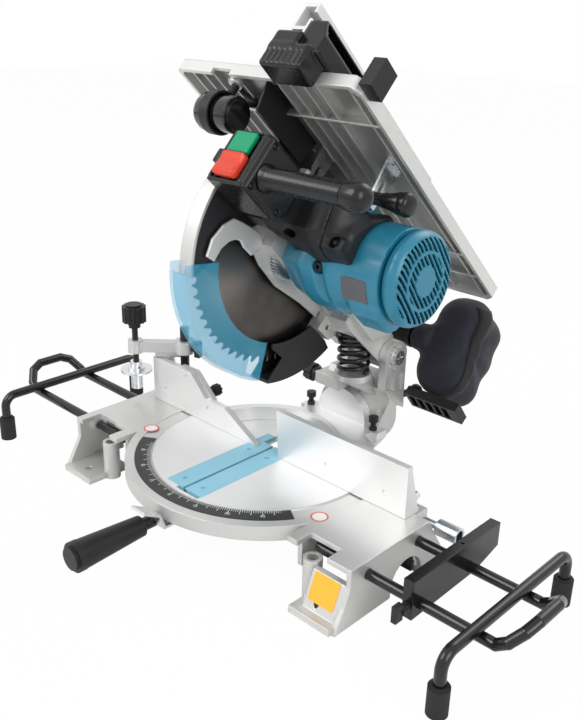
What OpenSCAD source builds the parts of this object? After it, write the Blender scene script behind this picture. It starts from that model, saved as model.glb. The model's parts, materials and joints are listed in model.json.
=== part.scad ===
// Table-top combination saw: a mitre saw whose head also carries a small bench-saw table.
// Millimetres. +X is the operator's right, +Y is away from the operator, +Z is up.
// The origin is the turntable axis on the bench top.

/* [Base] */
// Height of the work surface above the bench
table_height = 67; // [60:0.5:80]
// Half of the width across both wings
base_half_width = 238; // [225:1:260]
// Outer radius of the front rim
rim_radius = 170; // [164:0.5:178]
// Height of the front rim
rim_height = 17.5; // [14:0.5:17.5]
// Front face of the wings, ahead of the turntable axis
wing_front = 113; // [105:1:122]
// Rear face of the wings, behind the turntable axis
wing_rear = 17; // [12:0.5:24]
// Wall thickness of the casting
base_wall = 6; // [4:0.5:8]
// Thickness of the foot pads
foot_thickness = 8; // [6:0.5:12]
// Bench bolt hole radius
bench_hole_r = 4.5; // [3.5:0.25:6]
// Bench bolt spacing across the saw
bench_bolt_x = 408; // [396:1:430]
// Front bench bolts ahead of the axis
bench_bolt_front = 122; // [119:0.5:126]
// Rear bench bolts behind the axis
bench_bolt_rear = 38; // [34:0.5:44]

/* [Turntable] */
// Radius of the turning disc
disc_radius = 137.2; // [130:0.2:139]
// Thickness of the disc
disc_thickness = 8; // [6:0.5:9]
// Gap between the disc and what surrounds it
disc_gap = 0.6; // [0.4:0.1:1.2]
// Radius of the turntable's centre pin
centre_pin_r = 10; // [8:0.5:14]
// Width of both kerf boards together
kerf_width = 60; // [52:1:70]
// Thickness of the kerf boards
kerf_thickness = 5; // [3:0.5:6]
// Width of the saw slot
slot_width = 3.6; // [3.2:0.2:6]
// Width of the mitre scale
scale_width = 19; // [14:0.5:19.5]
// Ledge height for the bevel stop bolts
ledge_top = 66; // [62:0.5:66.5]
// Distance of the bevel disc face behind the axis
bevel_face_y = 144; // [140:0.5:150]
// Radius of the bevel disc
bevel_disc_r = 41; // [36:0.5:44]

/* [Guide fence] */
// Height of the fence above the table
fence_height = 62; // [50:1:75]
// Half length of the fence
fence_half = 217; // [205:1:228]
// Fence plate thickness
fence_plate = 8; // [6:0.5:10]
// Height of the low part of the left fence
fence_low = 33; // [25:1:40]
// Outer radius of the bow that joins both fences
bow_radius = 94; // [90:0.5:100]
// Height of the bow above the table
bow_height = 19; // [12:0.5:26]

/* [Side holders] */
// Radius of the holder rods
rod_r = 6; // [5:0.25:7]
// Height of the holder rods
rod_z = 51; // [47:0.5:53]
// Front rod ahead of the axis
rod_front = 86; // [80:0.5:90]
// Rear rod ahead of the axis
rod_rear = 1.7; // [0:0.1:6]
// Distance of the leg bar from the saw's middle
leg_bar_x = 368.5; // [350:0.5:390]
// Outermost reach of the holder
holder_reach = 408; // [395:1:450]
// Front leg ahead of the axis
leg_front = 145; // [135:1:155]
// Rear leg behind the axis
leg_rear = 78.5; // [70:0.5:90]
// Rubber cap radius
cap_r = 10.5; // [9:0.5:14]
// Rubber cap height
cap_height = 32; // [26:1:38]
// Left face of the set plate
set_plate_x = 290.5; // [280:0.5:310]

/* [Vise] */
// Vise rod distance left of the axis
vise_x = 185; // [178:0.5:192]
// Vise rod distance behind the fence face
vise_y = 29; // [29:0.5:34]
// Vise rod radius
vise_rod_r = 6; // [5:0.25:7]
// Height of the vise arm's underside
vise_arm_z = 136; // [132:0.5:150]
// Vise screw distance left of the axis
vise_screw_x = 232; // [226:0.5:238]
// Vise screw distance ahead of the fence face
vise_screw_y = 18; // [14:0.5:24]

/* [Bevel arm and hinge] */
// Hinge axis behind the turntable axis
pivot_y = 168; // [165:0.5:172]
// Hinge axis height
pivot_z = 166; // [163:0.5:170]
// Hinge pin radius
hinge_pin_r = 8; // [6:0.25:9]
// Inner face of the left ear
ear_left = 4; // [2:0.5:4.5]
// Inner face of the right ear
ear_right = 56; // [55.5:0.5:60]
// Ear thickness
ear_thick = 12; // [8:0.5:14]
// Return spring wire radius
spring_wire = 2.6; // [1.8:0.1:2.8]
// Return spring mean radius
spring_r = 19; // [13:0.5:19]
// Number of spring coils
spring_turns = 5; // [3:1:6]

/* [Saw head] */
// How far the head is raised from level, in degrees
raise_angle = 43.3; // [38:0.1:45]
// Blade centre ahead of the hinge
blade_reach = 210.3; // [206:0.1:214]
// Blade centre above the hinge when level
blade_rise = 6.8; // [5:0.1:9]
// Blade diameter
blade_diameter = 260; // [250:1:261]
// Number of blade teeth
blade_teeth = 60; // [24:2:80]
// Blade body thickness
blade_body = 1.8; // [1.4:0.1:2.2]
// Outer radius of the blade case
case_r = 138; // [136:0.5:140]
// Half width of the blade case
case_half = 9.5; // [8:0.1:9.6]
// Outer radius of the lower guard
guard_r = 149; // [147:0.5:151]
// Half width of the lower guard
guard_half = 12.5; // [12.2:0.1:12.6]
// Wall of the lower guard
guard_wall = 1.5; // [1:0.1:1.6]
// Gear module
gear_module = 1.25; // [1.2:0.05:1.3]
// Teeth on the blade gear
gear_teeth = 42; // [40:1:44]
// Teeth on the motor pinion
pinion_teeth = 9; // [8:1:10]
// Radius of the motor housing
motor_r = 52.5; // [50:0.5:54]
// Right end of the motor
motor_end = 184; // [176:0.5:190]
// Length of the front grip
grip_length = 114; // [100:1:125]
// Radius of the front grip
grip_r = 12; // [11:0.5:15]

/* [Upper table] */
// Height of the upper table above the blade centre
top_height = 120.7; // [120.5:0.1:124]
// Left edge of the upper table
top_left = 110.7; // [100:0.5:120]
// Right edge of the upper table
top_right = 149.3; // [149:0.5:160]
// Front edge of the upper table ahead of the blade centre
top_front = 173; // [170:0.5:178]
// Rear edge of the upper table behind the blade centre
top_rear = 221; // [205:0.5:235]
// Plate thickness of the upper table
top_plate = 4; // [3:0.5:4.5]
// Rim depth of the upper table
top_rim = 14; // [12:0.5:15]
// Rip fence face, right of the blade
rip_x = 54; // [45:0.5:62]
// Rip fence height
rip_height = 58; // [40:1:65]
// Lamp axis below the upper table's rim
lamp_drop = 36.7; // [34:0.1:44]
// Lamp radius
lamp_r = 20.5; // [18:0.5:22]

/* [Dust bag] */
// Radius of the dust bag's front half
bag_r = 42; // [34:0.5:42]
// Radius of the dust bag's rear half
bag_rear_r = 34; // [28:0.5:40]
// Length of the dust bag between its round ends
bag_length = 60; // [50:1:60]
// Distance of the dust bag right of the blade
bag_x = 104; // [102:0.5:112]
// Radius of the dust nozzle
nozzle_r = 18; // [17:0.5:20]

/* [Hidden] */
$fn = 64;
run = 0.05;
gap = 0.4;
rim_bottom = table_height - rim_height;
disc_bottom = table_height - disc_thickness;
blade_r = blade_diameter / 2;
arm_y = bevel_face_y + 14.4;
c0 = [0.84, 0.84, 0.82];
c1 = [0.9, 0.9, 0.92];
c2 = [0.45, 0.74, 0.86];
c3 = [0.04, 0.04, 0.05];
c4 = [0.0, 0.45, 0.56];
c5 = [0.3, 0.75, 0.9, 0.5];
c6 = [0.62, 0.6, 0.57];
c7 = [0.1, 0.11, 0.15];
c8 = [0.78, 0.8, 0.82];
gear_dist = gear_module * (gear_teeth + pinion_teeth) / 2;
motor_u = gear_dist * 0.693;
motor_v = gear_dist * 0.721;
pocket_bottom = table_height - kerf_thickness;
trough_floor = 37.3;
web_top = 37;
fence_top = table_height + fence_height;
spring_z0 = 149.3;
spring_z1 = 200;
spring_x = 30;
spring_y = 128;
coil_rings = 24 * spring_turns;
leg_bend = 16;
lock_u = -34;
rod_inner = 170;
slide_in = 12;
boss_x = base_half_width - 24;
screw_x = base_half_width - 12;
stopper_y = 117;
stopper_z = 131;
lamp_u = -156.5;
lamp_x = -26;
cap_x = motor_end - 24;
lamp_v = top_height - top_rim - lamp_drop;
bag_u = 268;
bag_v = 50;
nozzle_u = 246;
duct_x = 4;
duct_v = 42;
grip_z = 44;
mesh_line = atan2(motor_v, motor_u);
mesh_angle = mesh_line * (1 + gear_teeth / pinion_teeth) + 180;
bolt_x = bench_bolt_x / 2;

// ---------- helpers ----------
module xcyl(x0, x1, r) {
    translate([x0, 0, 0]) rotate([0, 90, 0]) cylinder(h = x1 - x0, r = r);
}
module xtube(x0, x1, ro, ri) {
    difference() {
        xcyl(x0, x1, ro);
        xcyl(x0 - 1, x1 + 1, ri);
    }
}
module ycyl(y0, y1, r) {
    translate([0, y0, 0]) rotate([-90, 0, 0]) cylinder(h = y1 - y0, r = r);
}
module tube(z0, z1, ro, ri) {
    translate([0, 0, z0]) difference() {
        cylinder(h = z1 - z0, r = ro);
        translate([0, 0, -1]) cylinder(h = z1 - z0 + 2, r = ri);
    }
}
module box(lo, hi) {
    translate(lo) cube([hi[0] - lo[0], hi[1] - lo[1], hi[2] - lo[2]]);
}
// a flat shape given in (Y, Z), as thick as from x0 to x1
module side(x0, x1) {
    translate([x0, 0, 0]) rotate([90, 0, 90]) linear_extrude(x1 - x0) children();
}
// a flat shape given in (X, Z), as thick as from y0 to y1
module face(y0, y1) {
    translate([0, y1, 0]) rotate([90, 0, 0]) linear_extrude(y1 - y0) children();
}
// points of a wedge about X; angles run from straight ahead, downwards
function wedge_points(r, a0, a1) =
    concat([[0, 0]], [for (i = [0:8]) let (a = a0 + (a1 - a0) * i / 8) [-r * cos(a), -r * sin(a)]]);
module sector(x0, x1, ro, ri, a0, a1) {
    intersection() {
        xtube(x0, x1, ro, ri);
        side(x0 - 1, x1 + 1) polygon(wedge_points(ro * 1.6, a0, a1));
    }
}
module both() {
    children();
    mirror([1, 0, 0]) children();
}
// the saw head's own frame: origin at the blade centre, Y back and Z up when level
module head() {
    translate([0, pivot_y, pivot_z]) rotate([-raise_angle, 0, 0])
        translate([0, -blade_reach, blade_rise]) children();
}
module rod(p, q, r) {
    d = q - p;
    len = norm(d);
    translate(p) rotate([0, acos(d[2] / len), atan2(d[1], d[0])]) cylinder(h = len, r = r);
}
// a rod through the points, with round bends of the given radius
function unit(v) = v / norm(v);
function turn_angle(a, b, c) = acos(unit(b - a) * unit(c - b));
function bend_cut(p, i, bend) =
    i == 0 || i == len(p) - 1 ? 0 : bend * tan(turn_angle(p[i - 1], p[i], p[i + 1]) / 2);
module bent_rod(p, r, bend) {
    for (i = [0:len(p) - 2]) {
        d = unit(p[i + 1] - p[i]);
        rod(p[i] + bend_cut(p, i, bend) * d, p[i + 1] - bend_cut(p, i + 1, bend) * d, r, $fn = 32);
    }
    for (i = [1:len(p) - 2]) elbow(p[i - 1], p[i], p[i + 1], r, bend);
}
// a polyline of rods with a ball at each joint, the last point included
module joined_rods(p, r) {
    for (i = [1:len(p) - 1]) {
        rod(p[i - 1], p[i], r, $fn = 32);
        translate(p[i]) sphere(r = r + 0.1, $fn = 32);
    }
}
module elbow(a, b, c, r, bend) {
    d = unit(b - a);
    z = unit(cross(d, unit(c - b)));
    x = cross(d, z);
    angle = turn_angle(a, b, c);
    translate(b - d * bend * tan(angle / 2) - x * bend)
        rotate(abs(x[2]) > 0.999 ? [atan2(-x[2] * d[0], d[1]), -90 * x[2], 0]
            : [atan2(d[2], z[2]), -asin(x[2]), atan2(x[1], x[0])])
            rotate_extrude(angle = angle, $fn = 64) translate([bend, 0]) circle(r = r, $fn = 32);
}
module knob(r, h, lobes) {
    difference() {
        cylinder(h = h, r = r);
        for (i = [0:lobes - 1]) rotate([0, 0, i * 360 / lobes])
            translate([r + 0.6, 0, -1]) cylinder(h = h + 2, r = 2.2, $fn = 24);
    }
}

// ---------- base ----------
module wing_common() {
    // top plate, outer wall, inner wall, rear wall
    box([150, -wing_front, table_height - base_wall], [base_half_width, wing_rear, table_height]);
    difference() {
        side(base_half_width - base_wall, base_half_width)
            polygon([[-wing_front, table_height], [wing_rear, table_height],
                [wing_rear + 6, table_height - 12], [50, 14], [50, 0], [16, 0],
                [-wing_front + 34, 0], [-wing_front - 22, 0], [-wing_front - 16, 12],
                [-wing_front, 40]]);
        // the arch between the front and the rear foot
        translate([base_half_width - base_wall - 1, 0, 0]) {
            translate([0, -46, -1]) cube([base_wall + 2, 54, 13]);
            translate([0, -19, 10]) rotate([0, 90, 0]) cylinder(h = base_wall + 2, r = 27);
        }
    }
    box([150, -96, 24], [156, wing_rear, table_height]);
    box([150, wing_rear - base_wall, 24], [base_half_width, wing_rear, table_height]);
    // feet
    box([178, -wing_front - 26, 0], [base_half_width - 4, -wing_front + 34, foot_thickness]);
    box([182, wing_rear - base_wall, 0], [base_half_width, 50, foot_thickness]);
    box([182, wing_rear - base_wall, 0], [188, wing_rear, 30]);
    // bosses for the holder rods
    for (y = [-rod_front, -rod_rear]) translate([0, y, rod_z])
        xcyl(boss_x, base_half_width, rod_r + 5);
    box([boss_x, -rod_rear - 8, rod_z], [base_half_width - 1, -rod_rear + 8, table_height - 2]);
    box([boss_x, -rod_front - 8, rod_z], [base_half_width - 1, -rod_front + 8, table_height - 2]);
}
module base_casting() color(c0) {
    difference() {
        union() {
            // front rim
            intersection() {
                translate([0, 0, rim_bottom]) cylinder(h = rim_height, r = rim_radius, $fn = 128);
                box([-rim_radius, -rim_radius - 1, 0], [rim_radius, wing_rear, 100]);
            }
            both() wing_common();
            // front pockets: bosses, and the sloping front of the right leg
            both() translate([178, -103, 0]) cylinder(h = 50, r = 10.5);
            side(188, base_half_width) polygon([[-wing_front, 46], [-wing_front + 7, 46],
                [-wing_front - 8, 6], [-wing_front - 16, 6]]);
            // centre web and bearing
            box([-152, -58, 28], [152, 38, web_top]);
            translate([0, 0, 16]) cylinder(h = web_top - 16, r = 26);
            // socket for the vise rod, and the clip of the wrench
            translate([-vise_x, vise_y, 24]) cylinder(h = 44, r = 11.5);
            box([-vise_x - 8, 10, 24], [-vise_x + 8, vise_y, 60]);
            box([196, wing_rear - 1, 44], [216, 44, 62]);
        }
        // turntable opening and scale recess
        translate([0, 0, web_top]) cylinder(h = 60, r = disc_radius + disc_gap, $fn = 128);
        translate([0, 0, table_height - 1.4])
            tube(0, 3, disc_radius + disc_gap + scale_width + 1.6, disc_radius + disc_gap + 1.2);
        translate([0, 0, 10]) cylinder(h = 40, r = centre_pin_r + run);
        // rod bores
        both() for (y = [-rod_front, -rod_rear]) translate([0, y, rod_z])
            xcyl(rod_inner - slide_in, base_half_width + 1, rod_r + run);
        // set screw bores
        both() translate([screw_x, -rod_rear, 30]) cylinder(h = rod_z - 30, r = 3 + run);
        // open pockets at the front
        box([-226, -wing_front - 1, foot_thickness], [-191, -84, table_height + 1]);
        box([-226, -wing_front - 1, 50], [-166, -86, table_height + 1]);
        box([164, -wing_front - 1, 50], [206, -91, table_height + 1]);
        both() {
            translate([178, -103, foot_thickness]) cylinder(h = 60, r = 6.5);
            translate([bolt_x, -bench_bolt_front, -1]) cylinder(h = 20, r = bench_hole_r);
            translate([bolt_x, bench_bolt_rear, -1]) cylinder(h = 20, r = bench_hole_r);
        }
        translate([-vise_x, vise_y, 40]) cylinder(h = 60, r = vise_rod_r + run);
        translate([0, 34, 53]) xcyl(190, 220, 4.2 + run);
        // fence bolt holes
        for (x = [-192, -105, 102, 188]) if (abs(x) > 150)
            translate([x, 13, table_height - 20]) cylinder(h = 30, r = 3);
    }
}
module mitre_scale() color(c3) {
    r0 = disc_radius + disc_gap + 1.3;
    intersection() {
        tube(table_height - 1.4, table_height, r0 + scale_width, r0);
        linear_extrude(200) polygon(concat([[0, 0]],
            [for (i = [-6:6]) [300 * sin(i * 9.6), -300 * cos(i * 9.6)]]));
    }
}
module fence_profile_left() {
    polygon([[-fence_half, table_height + 0.3], [-fence_half, fence_top], [-139, fence_top],
        [-110, table_height + fence_low], [-74, table_height + fence_low],
        [-15, table_height + 1], [-15, table_height + 0.3]]);
}
module guide_fence() color(c1) {
    z0 = table_height + 0.3;
    difference() {
        union() {
            difference() {
                face(0, fence_plate) fence_profile_left();
                translate([-148, 0, table_height + 54]) ycyl(-1, 20, 3.5);
            }
            face(0, fence_plate) polygon([[24, z0], [20, fence_top], [fence_half, fence_top],
                [fence_half, z0]]);
            // rear flanges and gussets
            box([-fence_half, fence_plate - 1, z0], [-74, 24, z0 + 6]);
            box([24, fence_plate - 1, z0], [fence_half, 24, z0 + 6]);
            for (x = [-fence_half, -178, 90, 150, fence_half - 6])
                side(x, x + 6) polygon([[fence_plate - 1, fence_top - 3], [fence_plate - 1, z0],
                    [24, z0]]);
            // bow round the back of the turntable
            intersection() {
                tube(z0, table_height + bow_height, bow_radius, bow_radius - 7, $fn = 96);
                box([-120, 16, 0], [120, 140, 200]);
            }
            // socket tube at the left end
            translate([-fence_half + 8.5, 20, z0]) cylinder(h = fence_height - 2, r = 8.5);
        }
        translate([-fence_half + 8.5, 20, z0 + 20]) cylinder(h = 60, r = 6.2);
        // the vise rod goes past the flange
        translate([-vise_x, vise_y, 0]) cylinder(h = 200, r = vise_rod_r + 6.2);
        for (x = [-192, 188]) translate([x, 14.5, z0 - 1]) cylinder(h = 20, r = 2.6);
        for (x = [-192, -105, 102, 188]) translate([x, 0, table_height + 22]) ycyl(-1, 3, 3.2);
    }
}
module fence_bolts() color(c8) {
    for (x = [-192, -105, 102, 188]) translate([x, 0, table_height + 22]) difference() {
        ycyl(0.8, 3, 3.1);
        ycyl(0.5, 1.8, 1.4, $fn = 6);
    }
}
module socket_wrench() color(c8) {
    translate([0, 34, 53]) {
        xcyl(186, 242, 4.2);
        difference() {
            xcyl(239, 266, 9.4);
            translate([247, 0, 0]) rotate([0, 90, 0]) cylinder(h = 30, r = 7.2, $fn = 6);
        }
        translate([190, 0, 0]) rod([0, 0, 0], [0, 26, 10], 4.2);
        translate([190, 0, 0]) sphere(r = 4.2);
    }
}
module sub_fence() color(c1) {
    difference() {
        union() {
            face(fence_plate + gap, fence_plate + 7) polygon([[-168, 98], [-168, fence_top - 1],
                [-137, fence_top - 1], [-104, 98], [-104, 92], [-150, 92]]);
            translate([-148, 0, table_height + 54]) ycyl(0.6, fence_plate + 7, 3.45);
        }
        translate([-148, 0, table_height + 54]) ycyl(0, 2, 1.6, $fn = 6);
    }
}
module sub_fence_knob() color(c3) {
    translate([-116, 0, 104]) {
        ycyl(fence_plate + 7.02, fence_plate + 12, 4);
        translate([0, fence_plate + 12, 0]) rotate([-90, 0, 0]) knob(8, 9, 8);
    }
}

// ---------- side holders ----------
module holder_shape() {
    u = holder_reach;
    z = rod_z;
    end_front = [[rod_inner, -rod_front, z], [u - 22, -rod_front, z], [u - 11, -rod_front + 2, z + 7],
        [u, -rod_front + 11, z + 20], [u + 4, -rod_front + 25, z + 26]];
    end_rear = [for (p = end_front) [p[0], -rod_rear - rod_front - p[1], p[2]]];
    joined_rods(end_front, rod_r);
    joined_rods(end_rear, rod_r);
    rod(end_front[4], end_rear[4], rod_r, $fn = 32);
    bar_z = z + 2 * rod_r - 0.6;
    bent_rod([[leg_bar_x, -leg_front, 8], [leg_bar_x, -leg_front, bar_z],
        [leg_bar_x, leg_rear, bar_z], [leg_bar_x, leg_rear, 8]], rod_r, leg_bend);
}
module holder_caps_shape() {
    for (y = [-leg_front, leg_rear]) translate([leg_bar_x, y, 0]) difference() {
        union() {
            cylinder(h = cap_height - 2, r = cap_r);
            cylinder(h = cap_height, r = cap_r - 1.5);
        }
        translate([0, 0, 8]) cylinder(h = 60, r = rod_r);
    }
}
module holder_right() color(c3) holder_shape();
module holder_right_caps() color(c3) holder_caps_shape();
module holder_left() color(c3) mirror([1, 0, 0]) holder_shape();
module holder_left_caps() color(c3) mirror([1, 0, 0]) holder_caps_shape();
module set_plate() color(c3) {
    x0 = set_plate_x;
    difference() {
        union() {
            side(x0, x0 + 12) polygon([[-rod_front - 13, rod_z - 14], [-rod_front - 13, rod_z + 29],
                [52, rod_z + 29], [52, rod_z + 1], [-rod_rear + 12, rod_z - 11]]);
        }
        translate([0, -rod_front, rod_z]) xcyl(x0 - 1, x0 + 13, rod_r + run);
        translate([0, -rod_rear, rod_z]) xcyl(x0 - 1, x0 + 13, rod_r + run);
        translate([x0 + 6, -rod_front, rod_z]) ycyl(-20, 0, 2.5 + run);
        translate([x0 + 6, -10, rod_z + 20]) cylinder(h = 12, r = 2);
    }
}
module set_plate_screw() color(c3) {
    translate([set_plate_x + 6, -rod_front, rod_z]) {
        ycyl(-17, -rod_r - gap, 2.5);
        ycyl(-24, -13.4, 5);
        translate([-3, -34, -9]) cube([6, 11, 18]);
    }
}
module holder_screw() {
    translate([screw_x, -rod_rear, rod_z - rod_r - gap]) {
        translate([0, 0, -22]) cylinder(h = 22, r = 3);
        translate([0, 0, -27]) cylinder(h = 10, r = 6);
        translate([-7, -2.5, -34]) cube([14, 5, 12]);
    }
}
module holder_screw_right() color(c3) holder_screw();
module holder_screw_left() color(c3) mirror([1, 0, 0]) holder_screw();

// ---------- vise ----------
module vise_rod() color(c3) translate([-vise_x, vise_y, 0]) {
    translate([0, 0, 40.4]) cylinder(h = 132, r = vise_rod_r);
    translate([0, 0, 68.4]) cylinder(h = 6, r = vise_rod_r + 3);
}
module vise_arm() color(c0) {
    dx = vise_screw_x - vise_x;
    dy = vise_screw_y + vise_y;
    a = atan2(-dy, -dx);
    len = sqrt(dx * dx + dy * dy);
    difference() {
        union() {
            translate([-vise_x, vise_y, vise_arm_z]) {
                cylinder(h = 18, r = 13);
                rotate([0, 0, a]) translate([0, -7, 2]) cube([len, 14, 14]);
                rotate([0, 0, a]) translate([0, -3, -6]) cube([len * 0.6, 6, 10]);
            }
            translate([-vise_screw_x, -vise_screw_y, vise_arm_z]) cylinder(h = 18, r = 10);
        }
        translate([-vise_x, vise_y, 0]) cylinder(h = 300, r = vise_rod_r + run);
        translate([-vise_screw_x, -vise_screw_y, 0]) cylinder(h = 300, r = 4.05);
        translate([-vise_x, vise_y, vise_arm_z + 9]) rotate([0, 0, a + 150]) xcyl(0, 20, 2.55);
    }
}
module vise_lock() color(c3) {
    dx = vise_screw_x - vise_x;
    dy = vise_screw_y + vise_y;
    a = atan2(-dy, -dx) + 150;
    translate([-vise_x, vise_y, vise_arm_z + 9]) rotate([0, 0, a]) {
        xcyl(vise_rod_r + gap, 16, 2.5);
        xcyl(13.4, 22, 5);
        translate([18, -4, -11]) cube([8, 8, 22]);
    }
}
module vise_screw() color(c3) translate([-vise_screw_x, -vise_screw_y, 0]) {
    translate([0, 0, 117]) cylinder(h = 70, r = 4);
    translate([0, 0, 172]) cylinder(h = 8, r = 8);
    translate([0, 0, 180]) knob(16, 22, 14);
    translate([0, 0, 202]) cylinder(h = 2.5, r = 11);
}
module vise_foot() color(c8) translate([-vise_screw_x, -vise_screw_y, 0]) {
    difference() {
        union() {
            translate([0, 0, 109]) cylinder(h = 3, r = 21.5);
            translate([0, 0, 112]) cylinder(h = 3, r = 12);
            translate([0, 0, 84]) cylinder(h = 25, r = 8);
            translate([0, 0, 115]) cylinder(h = 8, r = 8);
        }
        translate([0, 0, 116.7]) cylinder(h = 20, r = 4.05);
    }
}

// ---------- turntable ----------
module turntable() color(c1) {
    half = kerf_width / 2 + 0.2;
    difference() {
        union() {
            translate([0, 0, disc_bottom]) cylinder(h = disc_thickness, r = disc_radius, $fn = 128);
            tube(disc_bottom - 8, disc_bottom + 1, disc_radius - 1, disc_radius - 7, $fn = 128);
            // blade trough
            box([-12, -110, trough_floor], [33, 60, disc_bottom + 1]);
            // neck to the bevel support
            box([-58, 60, 46], [58, arm_y - 1, 60]);
            box([-58, 90, 46], [58, arm_y - 1, ledge_top]);
            face(bevel_face_y - 6, arm_y - 0.4) polygon([[-67, ledge_top], [67, ledge_top],
                [67, 56], [46, 28], [-46, 28], [-67, 56]]);
            // half disc above the ledge
            intersection() {
                translate([0, 0, table_height]) ycyl(bevel_face_y, arm_y - 0.4, bevel_disc_r);
                box([-60, 100, ledge_top - 1], [60, 170, 150]);
            }
            translate([0, 0, 17]) cylinder(h = trough_floor - 16, r = centre_pin_r);
        }
        // pocket of the kerf boards, blade slot and the opening behind the fence
        box([-half, -128.2, pocket_bottom], [half, 37.2, table_height + 1]);
        box([-8, -133, disc_bottom - 1], [29, 18, table_height + 1]);
        box([-8, -107, trough_floor + 3], [29, 18, table_height + 1]);
        box([-17.5, 17, 0], [29, 86, table_height + 1]);
        // blind bore of the bevel lever, and the bores of the stop bolts
        translate([0, 0, table_height]) ycyl(bevel_face_y + 4, arm_y + 1, 9 + run);
        both() translate([55, 145, 40]) cylinder(h = 60, r = 3.5);
    }
    // boss of the mitre grip and pad of the index lever, below the disc
    difference() {
        union() {
            translate([0, 0, grip_z]) ycyl(-135, -110, 9);
            box([-16, -135, grip_z + 4], [4, -110, disc_bottom + 0.5]);
            box([10, -118, grip_z + 1.8], [22, -108, disc_bottom - 2]);
        }
        translate([0, 0, grip_z]) ycyl(-150, -112, 5 + run);
        box([-8, -133, disc_bottom - 1], [29, -100, table_height + 1]);
    }
}
module kerf_board(x0, x1, bevel) {
    difference() {
        box([x0, -128, pocket_bottom], [x1, 37, table_height]);
        box([-17.6, 16.9, 0], [17.6, 60, 100]);
        if (bevel) side_cut();
        for (y = [-112, -10]) translate([(x0 + x1) / 2, y, table_height - 1.6])
            cylinder(h = 3, r = 3);
    }
}
module side_cut() {
    // undercut that lets the tilted blade through
    face(-140, 60) polygon([[slot_width / 2, table_height - 0.6], [slot_width / 2 + 8, table_height - 8.6],
        [-5, table_height - 8.6], [-5, table_height - 0.6]]);
}
module kerf_board_left() color(c2) kerf_board(-kerf_width / 2, -slot_width / 2, false);
module kerf_board_right() color(c2) kerf_board(slot_width / 2, kerf_width / 2, true);
module stop_bolts() color(c3) both() translate([55, 145, 0]) {
    translate([0, 0, 45]) cylinder(h = 34, r = 3.5);
    translate([0, 0, ledge_top + 12]) cylinder(h = 7, r = 6.4);
    translate([0, 0, ledge_top + 0.02]) cylinder(h = 4, r = 5.6, $fn = 6);
}
module grip_shaft() color(c3) translate([0, 0, grip_z]) {
    ycyl(-204, -112.4, 5);
    ycyl(-190, -173, 7.5);
}
module mitre_grip() color(c3) translate([0, 0, grip_z]) difference() {
    union() {
        translate([0, -190.3, 0]) rotate([90, 0, 0]) cylinder(h = 78, r1 = 12, r2 = 16.5);
        ycyl(-277, -268.3, 17);
        ycyl(-281, -277, 13);
    }
    ycyl(-204, -180, 5 + run);
}
module index_lever() color(c8) {
    // flat steel lever that lifts the index pin: it runs under the rim and turns up outside it
    side(10, 22) polygon([[-112, grip_z + 1.5], [-172, grip_z + 1.5], [-178, 62], [-200, 74],
        [-201.5, 71.5], [-180.8, 60], [-174.8, grip_z - 1.5], [-112, grip_z - 1.5]]);
    side(-1, 10.01) polygon([[-181, 63.6], [-200, 74], [-201.5, 71.5], [-182.5, 61]]);
}

// ---------- bevel arm ----------
module ear(x0, x1) {
    translate([0, pivot_y, pivot_z]) xcyl(x0, x1, 21);
    side(x0, x1) polygon([[pivot_y - 20.5, pivot_z + 2], [pivot_y - 20.5, 124], [pivot_y - 9.6, 111],
        [pivot_y + 22, 88], [pivot_y + 20.5, 130], [pivot_y + 20.5, pivot_z + 2]]);
}
module bevel_arm() color(c0) {
    difference() {
        union() {
            translate([0, 0, table_height]) ycyl(arm_y, pivot_y + 32, 50);
            // column
            side(ear_left - ear_thick, ear_right - 4) polygon([[arm_y, 76], [arm_y, 118],
                [pivot_y - 14, 134], [pivot_y + 14, 134], [pivot_y + 22, 90], [pivot_y + 30, 76]]);
            ear(ear_left - ear_thick, ear_left);
            ear(ear_right, ear_right + ear_thick);
            side(ear_left - ear_thick, ear_right + ear_thick) polygon([[arm_y, 111],
                [pivot_y - 20.5, 124], [pivot_y + 20.5, 122], [pivot_y + 22, 92]]);
            // spring seat and its gusset
            translate([spring_x, spring_y, 138]) cylinder(h = 8.4, r = 23.5);
            side(20, 44) polygon([[108, 138.5], [150, 138.5], [162, 128], [162, 106], [arm_y, 106]]);
            // left cheek beside the spring, and the lug of the stopper pin
            side(ear_left - ear_thick, ear_left) polygon([[pivot_y - 20, 146], [128, 146],
                [stopper_y + 7, 138], [stopper_y + 7, 122], [146, 110], [162, 110]]);
            side(-16, 20.5) polygon([[108, 138.4], [108, 124], [112, 121], [126, 121], [134, 128],
                [134, 138.4]]);
            // web that widens from the disc to the right ear
            face(arm_y, pivot_y + 16) polygon([[ear_left - ear_thick, 122], [ear_right + ear_thick, 122],
                [ear_right + ear_thick, 106], [49, 58], [20, 40], [-20, 60]]);
        }
        translate([0, pivot_y, pivot_z]) xcyl(-40, 100, hinge_pin_r + run);
        translate([0, 0, table_height]) ycyl(100, 260, 9 + run);
        // lightening pockets in the right ear
        for (a = [0:4]) translate([ear_right + ear_thick - 3, pivot_y, pivot_z])
            rotate([a * 45 - 10, 0, 0]) translate([0, -2.2, 11.5]) cube([10, 7, 6]);
        side(ear_right + ear_thick - 3, ear_right + 40) polygon([[pivot_y - 17, 140],
            [pivot_y - 17, 124], [pivot_y - 2, 120], [pivot_y - 2, 140]]);
        side(ear_right + ear_thick - 3, ear_right + 40) polygon([[pivot_y + 2, 140],
            [pivot_y + 2, 119], [pivot_y + 17, 116], [pivot_y + 17, 140]]);
        translate([0, stopper_y, stopper_z]) xcyl(-30, 13, 5 + run);
    }
}
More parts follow.
